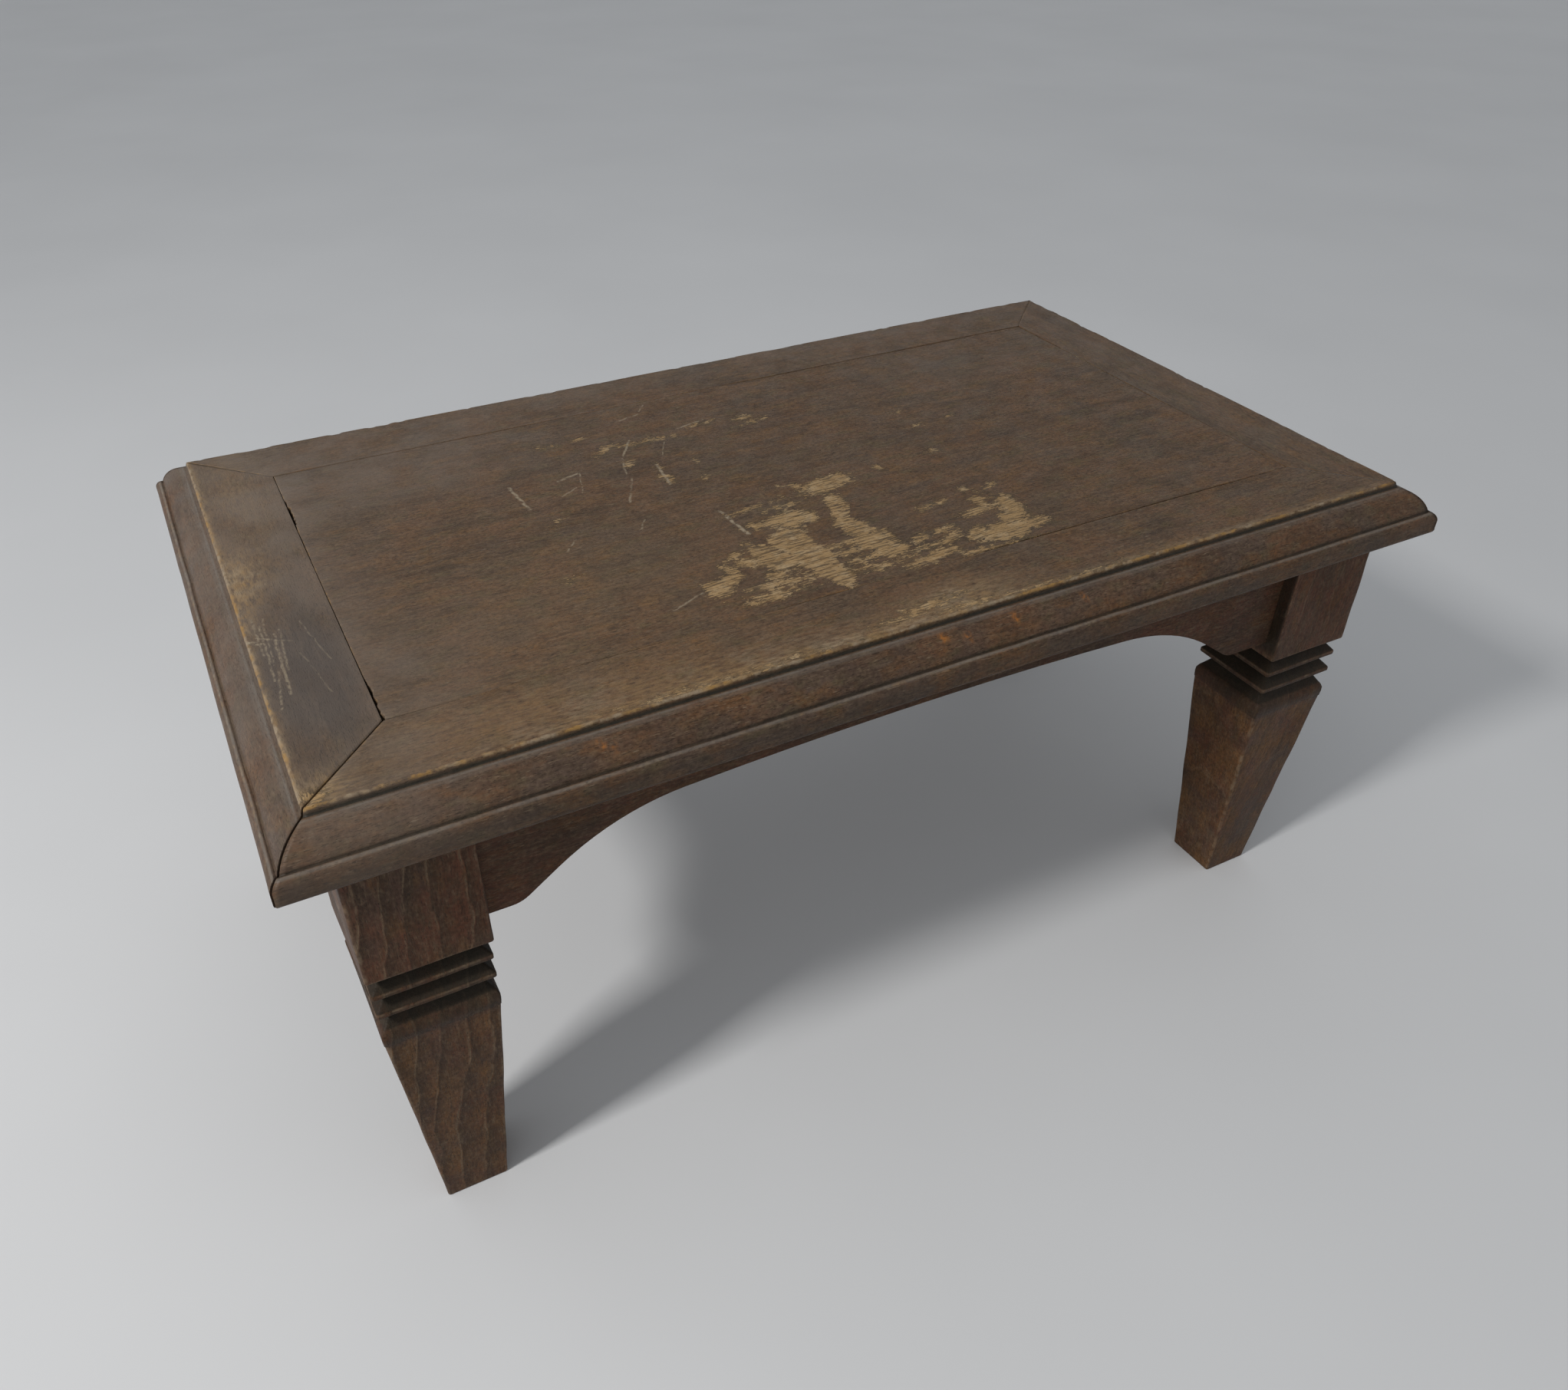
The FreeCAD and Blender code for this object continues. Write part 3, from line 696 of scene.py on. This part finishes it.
def make_leg(corner, skew, material):
    """A leg, with skew as how far the rear edge of its outer face leans outwards."""
    low, high = (np.array(place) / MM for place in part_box("leg_" + corner))
    middle, half = (low[:2] + high[:2]) / 2, (high[:2] - low[:2]) / 2
    per_side = SIDE_POINTS + CORNER_POINTS - 1
    on_corner = np.arange(4 * per_side) % per_side < CORNER_POINTS
    loops, wear, grime_and_shade = [], [], []

    def add_loop(z, half_x, half_y, worn, dirt_and_painted_light):
        loop = rounded_rectangle(half_x, half_y)
        loops.append(np.column_stack([loop, np.full(len(loop), z)]))
        # Every rounded corner is rubbed a little, which also paints a highlight along the edge
        wear.append(np.maximum(worn, 0.45 * on_corner * (dirt_and_painted_light < 0.3)))
        grime_and_shade.append(np.full(len(loop), dirt_and_painted_light))

    for z, inset, worn, dirt_and_painted_light in leg_levels():
        add_loop(z, half[0] - inset, half[1] - inset, worn, dirt_and_painted_light)
    for share in np.linspace(0, 1, TAPER_LEVELS):
        z = TAPER_TOP + (0.6 - TAPER_TOP) * share
        half_x = (half[0] - TAPER_INSET) * (1 - share) + FOOT / 2 * share
        half_y = (half[1] - TAPER_INSET) * (1 - share) + FOOT / 2 * share
        add_loop(z, half_x, half_y, 0.0, 0.0)
    # The foot's bottom edge is darkened: grime and a painted contact shadow
    add_loop(0.15, FOOT / 2 - 0.12, FOOT / 2 - 0.12, 0.6, 0.4)
    add_loop(0.0, FOOT / 2 - 0.4, FOOT / 2 - 0.4, 0.3, 0.8)
    loops, wear, grime_and_shade = np.array(loops), np.array(wear), np.array(grime_and_shade)

    # Cut and smoothed by hand: every face and ring is a little uneven, always inside the true outline
    seed = 1 + list(LEG_CENTRES).index(corner)
    unevenness = 0.006 * (1 + undulation(loops + 1000 * seed, 26.0, 60 + seed))
    unevenness = unevenness * smooth(loops[..., 2], 0.0, 8.0)
    loops[..., :2] *= 1 - unevenness[..., None]
    outward = math.copysign(1, middle[0])
    across = loops[..., 0] * outward / half[0]
    back = (loops[..., 1] + half[1]) / (2 * half[1])
    loops[..., 0] += outward * skew * smooth(across, 0.0, 1.0) * back * smooth(loops[..., 2], 88, 96)
    # The strips of the block beside the aprons are darkened with grime and painted shade where the parts
    # meet, and keep little of the painted edge highlight
    inner_side = smooth(across, -0.97, -0.99) * smooth(loops[..., 2], BLOCK_BOTTOM, BLOCK_BOTTOM + 4)
    grime_and_shade = np.maximum(grime_and_shade, 0.75 * inner_side)
    wear = wear * (1 - 0.8 * smooth(across, -0.95, -0.99) * (loops[..., 2] > BLOCK_BOTTOM))
    loops[..., :2] += middle
    masks = {"wear": wear, "grime_and_shade": grime_and_shade, "amber": smooth(loops[..., 2], 90, 86)}
    if corner == "front_right":
        masks["stain"] = spread_field(loops[..., 0], loops[..., 2], FRONT_RIGHT_LEG_STAIN)
    loops, masks = loops[::-1], {key: values[::-1] for key, values in masks.items()}
    return loft("wood_leg_" + corner, loops, masks, material, "leg_" + corner)


# ---- Wood ----
# Colours are linear red, green, blue and alpha

def colour(red, green, blue):
    return (red, green, blue, 1.0)


DARK_STAIN = colour(0.032, 0.018, 0.010)
PALE_FIBRE = colour(0.165, 0.115, 0.07)
PALE_TICK = colour(0.2, 0.15, 0.1)
PORE = colour(0.022, 0.013, 0.008)
BARE_RIM = colour(0.050, 0.036, 0.016)
BARE_BROWN = colour(0.22, 0.135, 0.058)
BARE_GOLD = colour(0.36, 0.24, 0.12)
BARE_PALE = colour(0.38, 0.29, 0.18)
BARE_PORE = colour(0.09, 0.05, 0.022)
THIN_GOLD = colour(0.245, 0.152, 0.068)
THIN_PALE = colour(0.26, 0.19, 0.118)
# A grey sheen of the window and wall light, painted into the colour
PAINTED_SHEEN = colour(0.142, 0.110, 0.086)
TOP_STAIN = colour(0.066, 0.054, 0.047)
ORANGE_FLECK = colour(0.27, 0.1, 0.02)
SCRATCH = colour(0.28, 0.225, 0.155)
TOP_EDGE = colour(0.27, 0.155, 0.05)
PALE_EDGE = colour(0.26, 0.2, 0.135)
# Rubbed leg edges, partly a painted highlight
LEG_EDGE_AND_HIGHLIGHT = colour(0.135, 0.088, 0.058)
LEG_AMBER = colour(0.165, 0.078, 0.026)
LEG_STAIN = colour(0.045, 0.036, 0.032)
# Grime colour, also used for painted shade in recesses, under edges and between parts
GRIME_AND_SHADE = colour(0.014, 0.013, 0.009)
# Dust colour, also used for painted highlights on the tops of the mouldings
DUST_AND_HIGHLIGHT = colour(0.155, 0.135, 0.115)
RAW_PALE = colour(0.36, 0.235, 0.125)
RAW_BROWN = colour(0.25, 0.15, 0.075)
RAW_DARK = colour(0.16, 0.11, 0.07)
STEEL = colour(0.30, 0.29, 0.28)
RUST = colour(0.15, 0.07, 0.035)
# Warm, cool, orange and olive ground tones
TOP_TONES = [
    colour(0.126, 0.065, 0.031),
    colour(0.100, 0.061, 0.035),
    colour(0.156, 0.078, 0.026),
    colour(0.096, 0.071, 0.031),
]
MOULDING_TONES = [
    colour(0.112, 0.055, 0.028),
    colour(0.078, 0.050, 0.036),
    colour(0.140, 0.062, 0.020),
    colour(0.080, 0.062, 0.030),
]
LEG_TONES = [
    colour(0.108, 0.040, 0.021),
    colour(0.076, 0.039, 0.027),
    colour(0.128, 0.056, 0.017),
    colour(0.066, 0.042, 0.021),
]
APRON_TONES = [
    colour(0.084, 0.030, 0.016),
    colour(0.052, 0.027, 0.018),
    colour(0.098, 0.042, 0.013),
    colour(0.052, 0.034, 0.015),
]


class Wood(Shader):
    """Stained wood with its grain along one axis of the frame."""

    def __init__(self, name, grain, seed):
        super().__init__(name)
        self.place = self.position()
        parts = self.tree.nodes.new("ShaderNodeSeparateXYZ")
        self.connect(parts.inputs[0], self.place)
        x, y, z = parts.outputs
        self.along, self.across, self.up = {"x": (x, y, z), "y": (y, x, z), "z": (z, x, y)}[grain]
        combined = self.node("CombineXYZ", {0: self.along, 1: self.across, 2: self.up})
        # Shifted so that no two pieces share their figure
        self.grain_place = self.vector("ADD", combined, (137.0 * seed, 53.0 * seed, 29.0 * seed))

    def streaks(self, length, width, low, high, detail=3.0):
        """Marks of the given length and width drawn out along the grain, from 0 to 1."""
        place = self.scaled(self.grain_place, (1 / length, 1 / width, 1 / width))
        return self.ramp(self.noise(place, 1.0, detail, 0.6), low, high)

    def clouds(self, size, low, high, detail=3.0):
        """Soft blotches of about the given size, from 0 to 1."""
        return self.ramp(self.noise(self.grain_place, 1 / size, detail, 0.55), low, high)

    def rings(self, pith_across, pith_up, spacing, slope, wobble):
        """How far through its growth ring a point is, from 0 to 1, about a pith leaning along the grain."""
        across = self.math("SUBTRACT", self.across, pith_across)
        up = self.math("SUBTRACT", self.up, pith_up)
        squares = self.math("ADD", self.math("MULTIPLY", across, across), self.math("MULTIPLY", up, up))
        radius = self.math("MULTIPLY_ADD", self.along, slope, self.math("SQRT", squares))
        bends = self.noise(self.scaled(self.grain_place, (0.022, 0.045, 0.045)), 1.0, 3.0)
        radius = self.math("MULTIPLY_ADD", self.math("SUBTRACT", bends, 0.5), wobble, radius)
        return self.math("FRACT", self.math("DIVIDE", radius, spacing))

    def scratch(self, start, end, half_width):
        """1 on a thin straight scratch on the top between two places, fading over its edge."""
        (start_x, start_y), (end_x, end_y) = start, end
        run = (end_x - start_x, end_y - start_y, 0.0)
        length_squared = run[0] ** 2 + run[1] ** 2
        wobble = self.node("TexNoise", {"Vector": self.place, "Scale": 0.3, "Detail": 2.0}, output=1)
        wobble = self.scaled(self.vector("SUBTRACT", wobble, (0.5, 0.5, 0.5)), (1.3, 1.3, 0.0))
        flat = self.vector("ADD", self.scaled(self.place, (1, 1, 0)), wobble)
        offset = self.vector("SUBTRACT", flat, (start_x, start_y, 0.0))
        dot = self.node("VectorMath", {0: offset, 1: run}, output=1, operation="DOT_PRODUCT")
        share = self.math("DIVIDE", dot, length_squared, clamp=True)
        nearest = self.node("VectorMath", {0: run, 3: share}, operation="SCALE")
        away = self.node("VectorMath", {0: offset, 1: nearest}, output=1, operation="DISTANCE")
        return self.ramp(away, half_width * 1.6, half_width * 0.5)

    def finish(self, base, roughness, height, bump, specular=0.5, metallic=None):
        """Makes the material, with relief. height is in millimetres and bump is how much of it shows."""
        normal = self.node("Bump", {"Strength": bump, "Distance": MM, "Height": height})
        return self.surface(base, roughness, specular, normal, metallic)


def product(wood, *values):
    """All the values multiplied together."""
    total = values[0]
    for value in values[1:]:
        total = wood.math("MULTIPLY", total, value)
    return total


def ground(wood, tones):
    """Soft patches of the four tones, lying a little along the grain."""
    warm, cool, orange, olive = tones
    base = wood.mix(wood.clouds(26.0, 0.42, 0.58), warm, cool)
    base = wood.mix(wood.math("MULTIPLY", wood.streaks(28.0, 9.0, 0.48, 0.68, 4.0), 0.5), base, DARK_STAIN)
    base = wood.mix(wood.math("MULTIPLY", wood.streaks(13.0, 6.0, 0.5, 0.68, 4.0), 0.7), base, orange)
    return wood.mix(wood.math("MULTIPLY", wood.streaks(8.0, 4.0, 0.52, 0.68, 4.0), 0.6), base, olive)


def stained(wood, base, figure, ring_strength):
    """The wood's rings, streaks and fibres showing through the stain."""
    ring = wood.rings(*figure)
    late = wood.math("MULTIPLY", wood.math("POWER", ring, 2.0), wood.ramp(ring, 1.0, 0.96))
    early = wood.math("MULTIPLY", wood.ramp(ring, 0.12, 0.03), wood.ramp(ring, 0.0, 0.03))
    base = wood.mix(wood.math("MULTIPLY", late, ring_strength), base, DARK_STAIN)
    base = wood.mix(product(wood, early, ring_strength, wood.clouds(9.0, 0.35, 0.6)), base, PALE_FIBRE)
    base = wood.mix(wood.math("MULTIPLY", wood.streaks(34.0, 2.6, 0.5, 0.72), 0.42), base, DARK_STAIN)
    pale_fibres = product(wood, wood.streaks(4.5, 0.9, 0.45, 0.7, 4.0), wood.clouds(7.0, 0.3, 0.6), 0.45)
    base = wood.mix(pale_fibres, base, PALE_FIBRE)
    dark_fibres = product(wood, wood.streaks(3.6, 0.8, 0.46, 0.66), wood.clouds(8.0, 0.35, 0.6), 0.55)
    base = wood.mix(dark_fibres, base, DARK_STAIN)
    base = wood.mix(wood.math("MULTIPLY", wood.clouds(1.5, 0.5, 0.7, 3.0), 0.22), base, PALE_FIBRE)
    return wood.mix(wood.math("MULTIPLY", wood.clouds(1.1, 0.42, 0.68, 3.0), 0.48), base, DARK_STAIN)


def pores(wood, base, pale_amount):
    """Short dark ticks along the grain, and fewer pale ones that hold polish and dust."""
    dark = wood.streaks(1.9, 0.3, 0.6, 0.7, 1.0)
    base = wood.mix(wood.math("MULTIPLY", dark, 0.6), base, PORE)
    shifted = wood.vector("ADD", wood.grain_place, (51.0, 17.0, 5.0))
    pale = wood.noise(wood.scaled(shifted, (1 / 2.8, 1 / 0.34, 1 / 0.34)), 1.0, 1.0)
    pale = wood.ramp(pale, 0.66, 0.76)
    return wood.mix(wood.math("MULTIPLY", pale, pale_amount), base, PALE_TICK), dark


def worn_through(wood, base, dark_pores):
    """Bare wood where the finish has gone, torn a little along the grain. Also gives its mask."""
    torn = wood.noise(wood.scaled(wood.grain_place, (1 / 2.8, 1 / 0.6, 1 / 0.6)), 1.0, 3.0, 0.7)
    ragged = wood.noise(wood.grain_place, 1 / 4.5, 5.0, 0.68)
    push = wood.math("MULTIPLY_ADD", torn, 0.6, -0.3)
    push = wood.math("ADD", push, wood.math("MULTIPLY_ADD", ragged, 0.5, -0.25))
    depth = wood.math("ADD", wood.attribute("bare"), push)
    rim = wood.math("MULTIPLY", wood.ramp(depth, 0.42, 0.49), 0.5)
    base = wood.mix(rim, base, BARE_RIM)
    bare = wood.ramp(depth, 0.5, 0.515)
    tone = wood.mix(wood.streaks(8.0, 0.6, 0.32, 0.68, 4.0), BARE_BROWN, BARE_GOLD)
    tone = wood.mix(wood.math("MULTIPLY", wood.clouds(4.0, 0.5, 0.7), 0.5), tone, BARE_PALE)
    tone = wood.mix(wood.math("MULTIPLY", dark_pores, 0.6), tone, BARE_PORE)
    # Thin lines of finish are left lying along the grain
    left_over = wood.streaks(6.0, 0.7, 0.52, 0.58, 2.0)
    bare = wood.math("MULTIPLY", bare, wood.math("MULTIPLY_ADD", left_over, -0.75, 0.97))
    return wood.mix(bare, base, tone), bare


def rubbed(wood, base, tan, low, strength):
    """Rubbed edges, patchy and somewhere between tan and pale."""
    patchy = product(wood, wood.attribute("wear"), wood.clouds(2.6, 0.3, 0.65, 4.0))
    tone = wood.mix(wood.clouds(11.0, 0.42, 0.58), tan, PALE_EDGE)
    return wood.mix(wood.math("MULTIPLY", wood.ramp(patchy, low, 0.6), strength), base, tone)


def dirt_and_painted_light(wood, base, dust_and_highlight_amount):
    """Darkens the corners of the mouldings with grime and painted shade, and lightens their upper sides with
    dust and a painted highlight.
    """
    grime_and_shade = product(wood, wood.attribute("grime_and_shade"), wood.clouds(14.0, 0.05, 0.4), 0.92)
    base = wood.mix(grime_and_shade, base, GRIME_AND_SHADE)
    dust_and_highlight = product(wood, wood.attribute("dust_and_highlight"), wood.clouds(8.0, 0.15, 0.55, 4.0), dust_and_highlight_amount)
    return wood.mix(dust_and_highlight, base, DUST_AND_HIGHLIGHT)


def relief(wood, dark_pores, bare=0.0):
    """Height of the surface in millimetres: fibres, pores and fine unevenness."""
    height = wood.math("MULTIPLY", wood.streaks(11.0, 0.6, 0.3, 0.75, 4.0), 0.06)
    height = wood.math("MULTIPLY_ADD", dark_pores, -0.12, height)
    height = wood.math("MULTIPLY_ADD", wood.clouds(1.2, 0.3, 0.7, 2.0), 0.05, height)
    return wood.math("MULTIPLY_ADD", bare, -0.1, height)


def top_wood(name, grain, seed, tones, scratches=()):
    """The finish on the top: brown stain with a painted grey sheen in places, rubbed edges, bare areas,
    grime with painted shade, and dust with painted highlights.
    """
    wood = Wood(name, grain, seed)
    # The pith's place across and up, then the spacing, slope and wobble of the rings
    figure = (15.0 * seed, HEIGHT - 60, 3.4, 0.02, 9.0)
    base = wood.mix(wood.attribute("moulded"), ground(wood, tones), ground(wood, MOULDING_TONES))
    base = stained(wood, base, figure, 0.15)
    base, dark_pores = pores(wood, base, 0.5)
    # A grey sheen of the window light, painted into the colour
    painted_sheen = product(wood, wood.attribute("painted_sheen"), wood.clouds(20.0, 0.2, 0.6), 0.8)
    base = wood.mix(painted_sheen, base, PAINTED_SHEEN)
    thin = product(wood, wood.attribute("thin"), wood.streaks(4.0, 1.2, 0.32, 0.62, 4.0))
    thin_tone = wood.mix(wood.clouds(9.0, 0.4, 0.6), THIN_GOLD, THIN_PALE)
    base = wood.mix(thin, base, thin_tone)
    stain = product(wood, wood.attribute("stain"), wood.streaks(30.0, 5.0, 0.2, 0.5), 0.75)
    base = wood.mix(stain, base, TOP_STAIN)
    base = wood.mix(product(wood, wood.attribute("fleck"), wood.clouds(1.6, 0.4, 0.6)), base, ORANGE_FLECK)
    base, bare = worn_through(wood, base, dark_pores)
    base = rubbed(wood, base, TOP_EDGE, 0.2, 0.85)
    upper = wood.ramp(wood.up, HEIGHT - 2.0, HEIGHT - 1.0)
    for start, end, half_width, strength in scratches:
        line = wood.scratch(start, end, half_width)
        mark = product(wood, line, wood.clouds(1.8, 0.38, 0.56, 4.0), strength, upper)
        base = wood.mix(mark, base, SCRATCH)
    base = dirt_and_painted_light(wood, base, 0.7)
    roughness = wood.math("MULTIPLY_ADD", wood.clouds(9.0, 0.35, 0.65, 4.0), 0.16, 0.42)
    roughness = wood.math("MULTIPLY_ADD", bare, 0.2, roughness)
    return wood.finish(base, roughness, relief(wood, dark_pores, bare), 0.7, 0.2)


def leg_wood(name, grain, seed, tones, figure, figure_strength):
    """The finish on legs and aprons: dark reddish brown with its figure showing, rubbed on the corners with
    a painted highlight there too.
    """
    wood = Wood(name, grain, seed)
    amber = product(wood, wood.attribute("amber"), wood.clouds(11.0, 0.38, 0.62, 4.0), 0.6)
    base = wood.mix(amber, ground(wood, tones), LEG_AMBER)
    base = stained(wood, base, figure, figure_strength)
    base, dark_pores = pores(wood, base, 0.25)
    stain = product(wood, wood.attribute("stain"), wood.clouds(7.0, 0.3, 0.6))
    base = wood.mix(stain, base, LEG_STAIN)
    # Rubbed corners, partly a painted highlight
    base = rubbed(wood, base, LEG_EDGE_AND_HIGHLIGHT, 0.1, 0.45)
    base = dirt_and_painted_light(wood, base, 0.5)
    roughness = wood.math("MULTIPLY_ADD", wood.clouds(22.0, 0.36, 0.64), 0.15, 0.45)
    return wood.finish(base, roughness, relief(wood, dark_pores), 0.7, 0.13)


def raw_wood(name, grain, seed):
    """Unfinished wood of the splines and glue blocks, browned with age."""
    wood = Wood(name, grain, seed)
    streaks = wood.streaks(30.0, 1.2, 0.3, 0.7, 4.0)
    clouds = wood.clouds(10.0, 0.35, 0.65)
    base = wood.mix(streaks, RAW_PALE, RAW_BROWN)
    base = wood.mix(wood.math("MULTIPLY", clouds, 0.5), base, RAW_DARK)
    height = wood.math("MULTIPLY", streaks, 0.08)
    return wood.finish(base, 0.65, height, 0.7)


def aged_steel(name):
    """Screw steel with a dull, lightly rusted skin."""
    steel = Wood(name, "z", 3)
    rust = steel.clouds(1.4, 0.45, 0.62, 4.0)
    grain = steel.clouds(0.5, 0.3, 0.7, 3.0)
    base = steel.mix(rust, STEEL, RUST)
    roughness = steel.math("MULTIPLY_ADD", rust, 0.4, 0.38)
    height = steel.math("MULTIPLY", grain, 0.04)
    return steel.finish(base, roughness, height, 0.5, metallic=steel.math("SUBTRACT", 1.0, rust))


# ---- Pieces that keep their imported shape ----

# Points closer together than this are one point
WELD_DISTANCE = 0.001


def weld(node):
    """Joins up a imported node's faces along its edges, and takes away faces with no area."""
    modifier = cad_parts[node].modifiers.new("weld", "WELD")
    modifier.merge_threshold = WELD_DISTANCE * MM


def soften(node, width):
    """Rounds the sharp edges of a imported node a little."""
    weld(node)
    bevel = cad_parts[node].modifiers.new("soften", "BEVEL")
    bevel.width = width * MM
    bevel.segments = 2
    bevel.limit_method = "ANGLE"
    bevel.angle_limit = math.radians(40)
    bevel.harden_normals = True


def dress(node, material):
    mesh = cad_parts[node].data
    mesh.materials.clear()
    mesh.materials.append(material)


# Each scratch has its two ends, half its width and its strength
PANEL_SCRATCHES = [
    ((-91, 32), (-89.5, 14), 0.5, 0.8),
    ((-74, 29.5), (-65.3, 32), 0.45, 0.7),
    ((-65.3, 31.5), (-69.2, 17.7), 0.25, 0.6),
    ((-39, 49), (-46, 38), 0.4, 0.7),
    ((-47, 36), (-50.5, 24), 0.35, 0.6),
    ((-50, 20), (-57.4, 4), 0.35, 0.6),
    ((-28, 42), (-34, 30), 0.2, 0.5),
    ((-37.6, 66), (-27, 69), 0.4, 0.6),
    ((-26, 71), (-22, 76), 0.3, 0.5),
    ((-20, 50), (-7, 53), 0.35, 0.6),
    ((-38, 26), (-39.6, 10), 0.5, 0.8),
    ((-33, -16), (-31.5, -34), 0.6, 0.9),
    ((-72, -65), (-60, -60), 0.35, 0.6),
    ((-62, -16), (-58, -10), 0.3, 0.5),
    ((-88, -18), (-83, -12), 0.25, 0.5),
    ((-77, 18), (-70, 22), 0.3, 0.5),
]
LEFT_RAIL_SCRATCHES = [
    ((-187, -25.5), (-184.5, -27.5), 0.6, 1.0),
    ((-184.5, -12), (-184.5, -34), 0.3, 0.5),
    ((-183, -18), (-183.8, -48), 0.3, 0.55),
    ((-181.5, -14), (-182.6, -40), 0.25, 0.45),
    ((-180, -24), (-181, -56), 0.35, 0.6),
    ((-178, -22), (-179.5, -44), 0.25, 0.5),
    ((-182, -44), (-184.6, -62), 0.3, 0.5),
    ((-185, -24), (-176, -30), 0.3, 0.5),
    ((-175, -36), (-171, -60), 0.2, 0.3),
    ((-172, -20), (-168, -44), 0.2, 0.3),
]


def make_object():
    """Every piece of the stand. A figure holds the same five values as in top_wood."""
    panel_wood = top_wood("panel_wood", "x", 1, TOP_TONES, PANEL_SCRATCHES)
    front_wood = top_wood("front_rail_wood", "x", 2, TOP_TONES)
    rear_wood = top_wood("rear_rail_wood", "x", 3, TOP_TONES)
    left_wood = top_wood("left_rail_wood", "y", 4, TOP_TONES, LEFT_RAIL_SCRATCHES)
    right_wood = top_wood("right_rail_wood", "y", 5, TOP_TONES)
    make_panel(panel_wood)
    # The number just before the wood is how much grime and painted shade the mouldings get: most on the
    # front rail, turned away from the window, least on the left rail, which faces it
    make_rail("front_rail", 0, (0.42, 0.03), 0.8, 1.0, front_wood)
    make_rail("right_rail", 1, (0.03, 0.03), 0.5, 0.9, right_wood)
    make_rail("rear_rail", 2, (0.03, 0.05), 0.5, 0.9, rear_wood)
    make_rail("left_rail", 3, (0.05, 0.42), 1.0, 0.1, left_wood)

    for number, (corner, (x, y)) in enumerate(LEG_CENTRES.items()):
        figure = (x + 62.0, y + 4.0, 6.8, 0.1, 15.0)
        skew = 1.5 if corner == "front_left" else 0.0
        figure_strength = 0.4 if corner == "front_right" else 0.85
        wood = leg_wood("leg_wood_" + corner, "z", 6 + number, LEG_TONES, figure, figure_strength)
        make_leg(corner, skew, wood)
    long_apron = leg_wood("long_apron_wood", "x", 11, APRON_TONES, (-70.0, 128.0, 4.0, 0.01, 12.0), 0.3)
    short_apron = leg_wood("short_apron_wood", "y", 12, APRON_TONES, (150.0, 120.0, 4.0, 0.01, 12.0), 0.3)
    for node in ("front_apron", "rear_apron"):
        dress(node, long_apron)
    for node in ("left_apron", "right_apron"):
        dress(node, short_apron)
    spline_wood = raw_wood("spline_wood", "x", 13)
    for corner in LEG_CENTRES:
        dress("mitre_spline_" + corner, spline_wood)
    block_wood = raw_wood("glue_block_wood", "x", 14)
    for side in ("front", "rear", "left", "right"):
        dress("glue_block_" + side, block_wood)
        soften("glue_block_" + side, 0.3)
    dress("top_screws", aged_steel("screw_steel_aged"))
    weld("top_screws")


# ---- The studio ----

def floor_material():
    floor = Shader("pale_floor")
    place = floor.position()
    mottle = floor.ramp(floor.noise(place, 1 / 240.0, 3.0), 0.3, 0.7)
    base = floor.mix(mottle, colour(0.60, 0.605, 0.615), colour(0.63, 0.635, 0.645))
    return floor.surface(base, 0.7, 0.2)


def make_floor():
    half = 6.0
    mesh = bpy.data.meshes.new("floor")
    corners = [(-half, -half, 0), (half, -half, 0), (half, half, 0), (-half, half, 0)]
    mesh.from_pydata(corners, [], [(0, 1, 2, 3)])
    mesh.materials.append(floor_material())
    floor = bpy.data.objects.new("floor", mesh)
    bpy.context.scene.collection.objects.link(floor)


def make_lights():
    """A large soft window light from the left and a pale fill from all round."""
    data = bpy.data.lights.new("window_light", "AREA")
    data.shape = "SQUARE"
    data.size = 0.17
    data.energy = 11.6
    data.color = (1.0, 0.985, 0.96)
    light = bpy.data.objects.new("window_light", data)
    light.location = (-0.99, -0.30, 1.02)
    aim = Vector((0.0, 0.0, 0.1)) - light.location
    light.rotation_euler = aim.to_track_quat("-Z", "Y").to_euler()
    bpy.context.scene.collection.objects.link(light)

    # The fill is a little brighter near the horizon than overhead, as between pale walls
    world = bpy.data.worlds.new("fill")
    world.use_nodes = True
    nodes, links = world.node_tree.nodes, world.node_tree.links
    coordinates = nodes.new("ShaderNodeTexCoord")
    parts = nodes.new("ShaderNodeSeparateXYZ")
    strength = nodes.new("ShaderNodeMapRange")
    links.new(coordinates.outputs["Generated"], parts.inputs[0])
    links.new(parts.outputs[2], strength.inputs["Value"])
    strength.inputs["To Min"].default_value = 0.61
    strength.inputs["To Max"].default_value = 0.42
    # and stronger from the window side
    sideways = nodes.new("ShaderNodeMath")
    sideways.operation = "MULTIPLY_ADD"
    sideways.inputs[1].default_value = -0.12
    links.new(parts.outputs[0], sideways.inputs[0])
    links.new(strength.outputs[0], sideways.inputs[2])
    background = nodes["Background"]
    background.inputs["Color"].default_value = colour(0.95, 0.975, 1.0)
    links.new(sideways.outputs[0], background.inputs["Strength"])
    bpy.context.scene.world = world


def make_camera():
    data = bpy.data.cameras.new("camera")
    data.sensor_width = 36.0
    data.lens = 28.62
    data.shift_x = 0.0163
    data.shift_y = -0.0011
    camera = bpy.data.objects.new("camera", data)
    camera.location = (-0.1933, -0.3536, 0.3815)
    camera.rotation_euler = (math.radians(53.45), math.radians(-0.08), math.radians(-27.34))
    bpy.context.scene.collection.objects.link(camera)
    bpy.context.scene.camera = camera


make_object()
make_floor()
make_lights()
make_camera()
bpy.context.scene.view_settings.view_transform = "Standard"
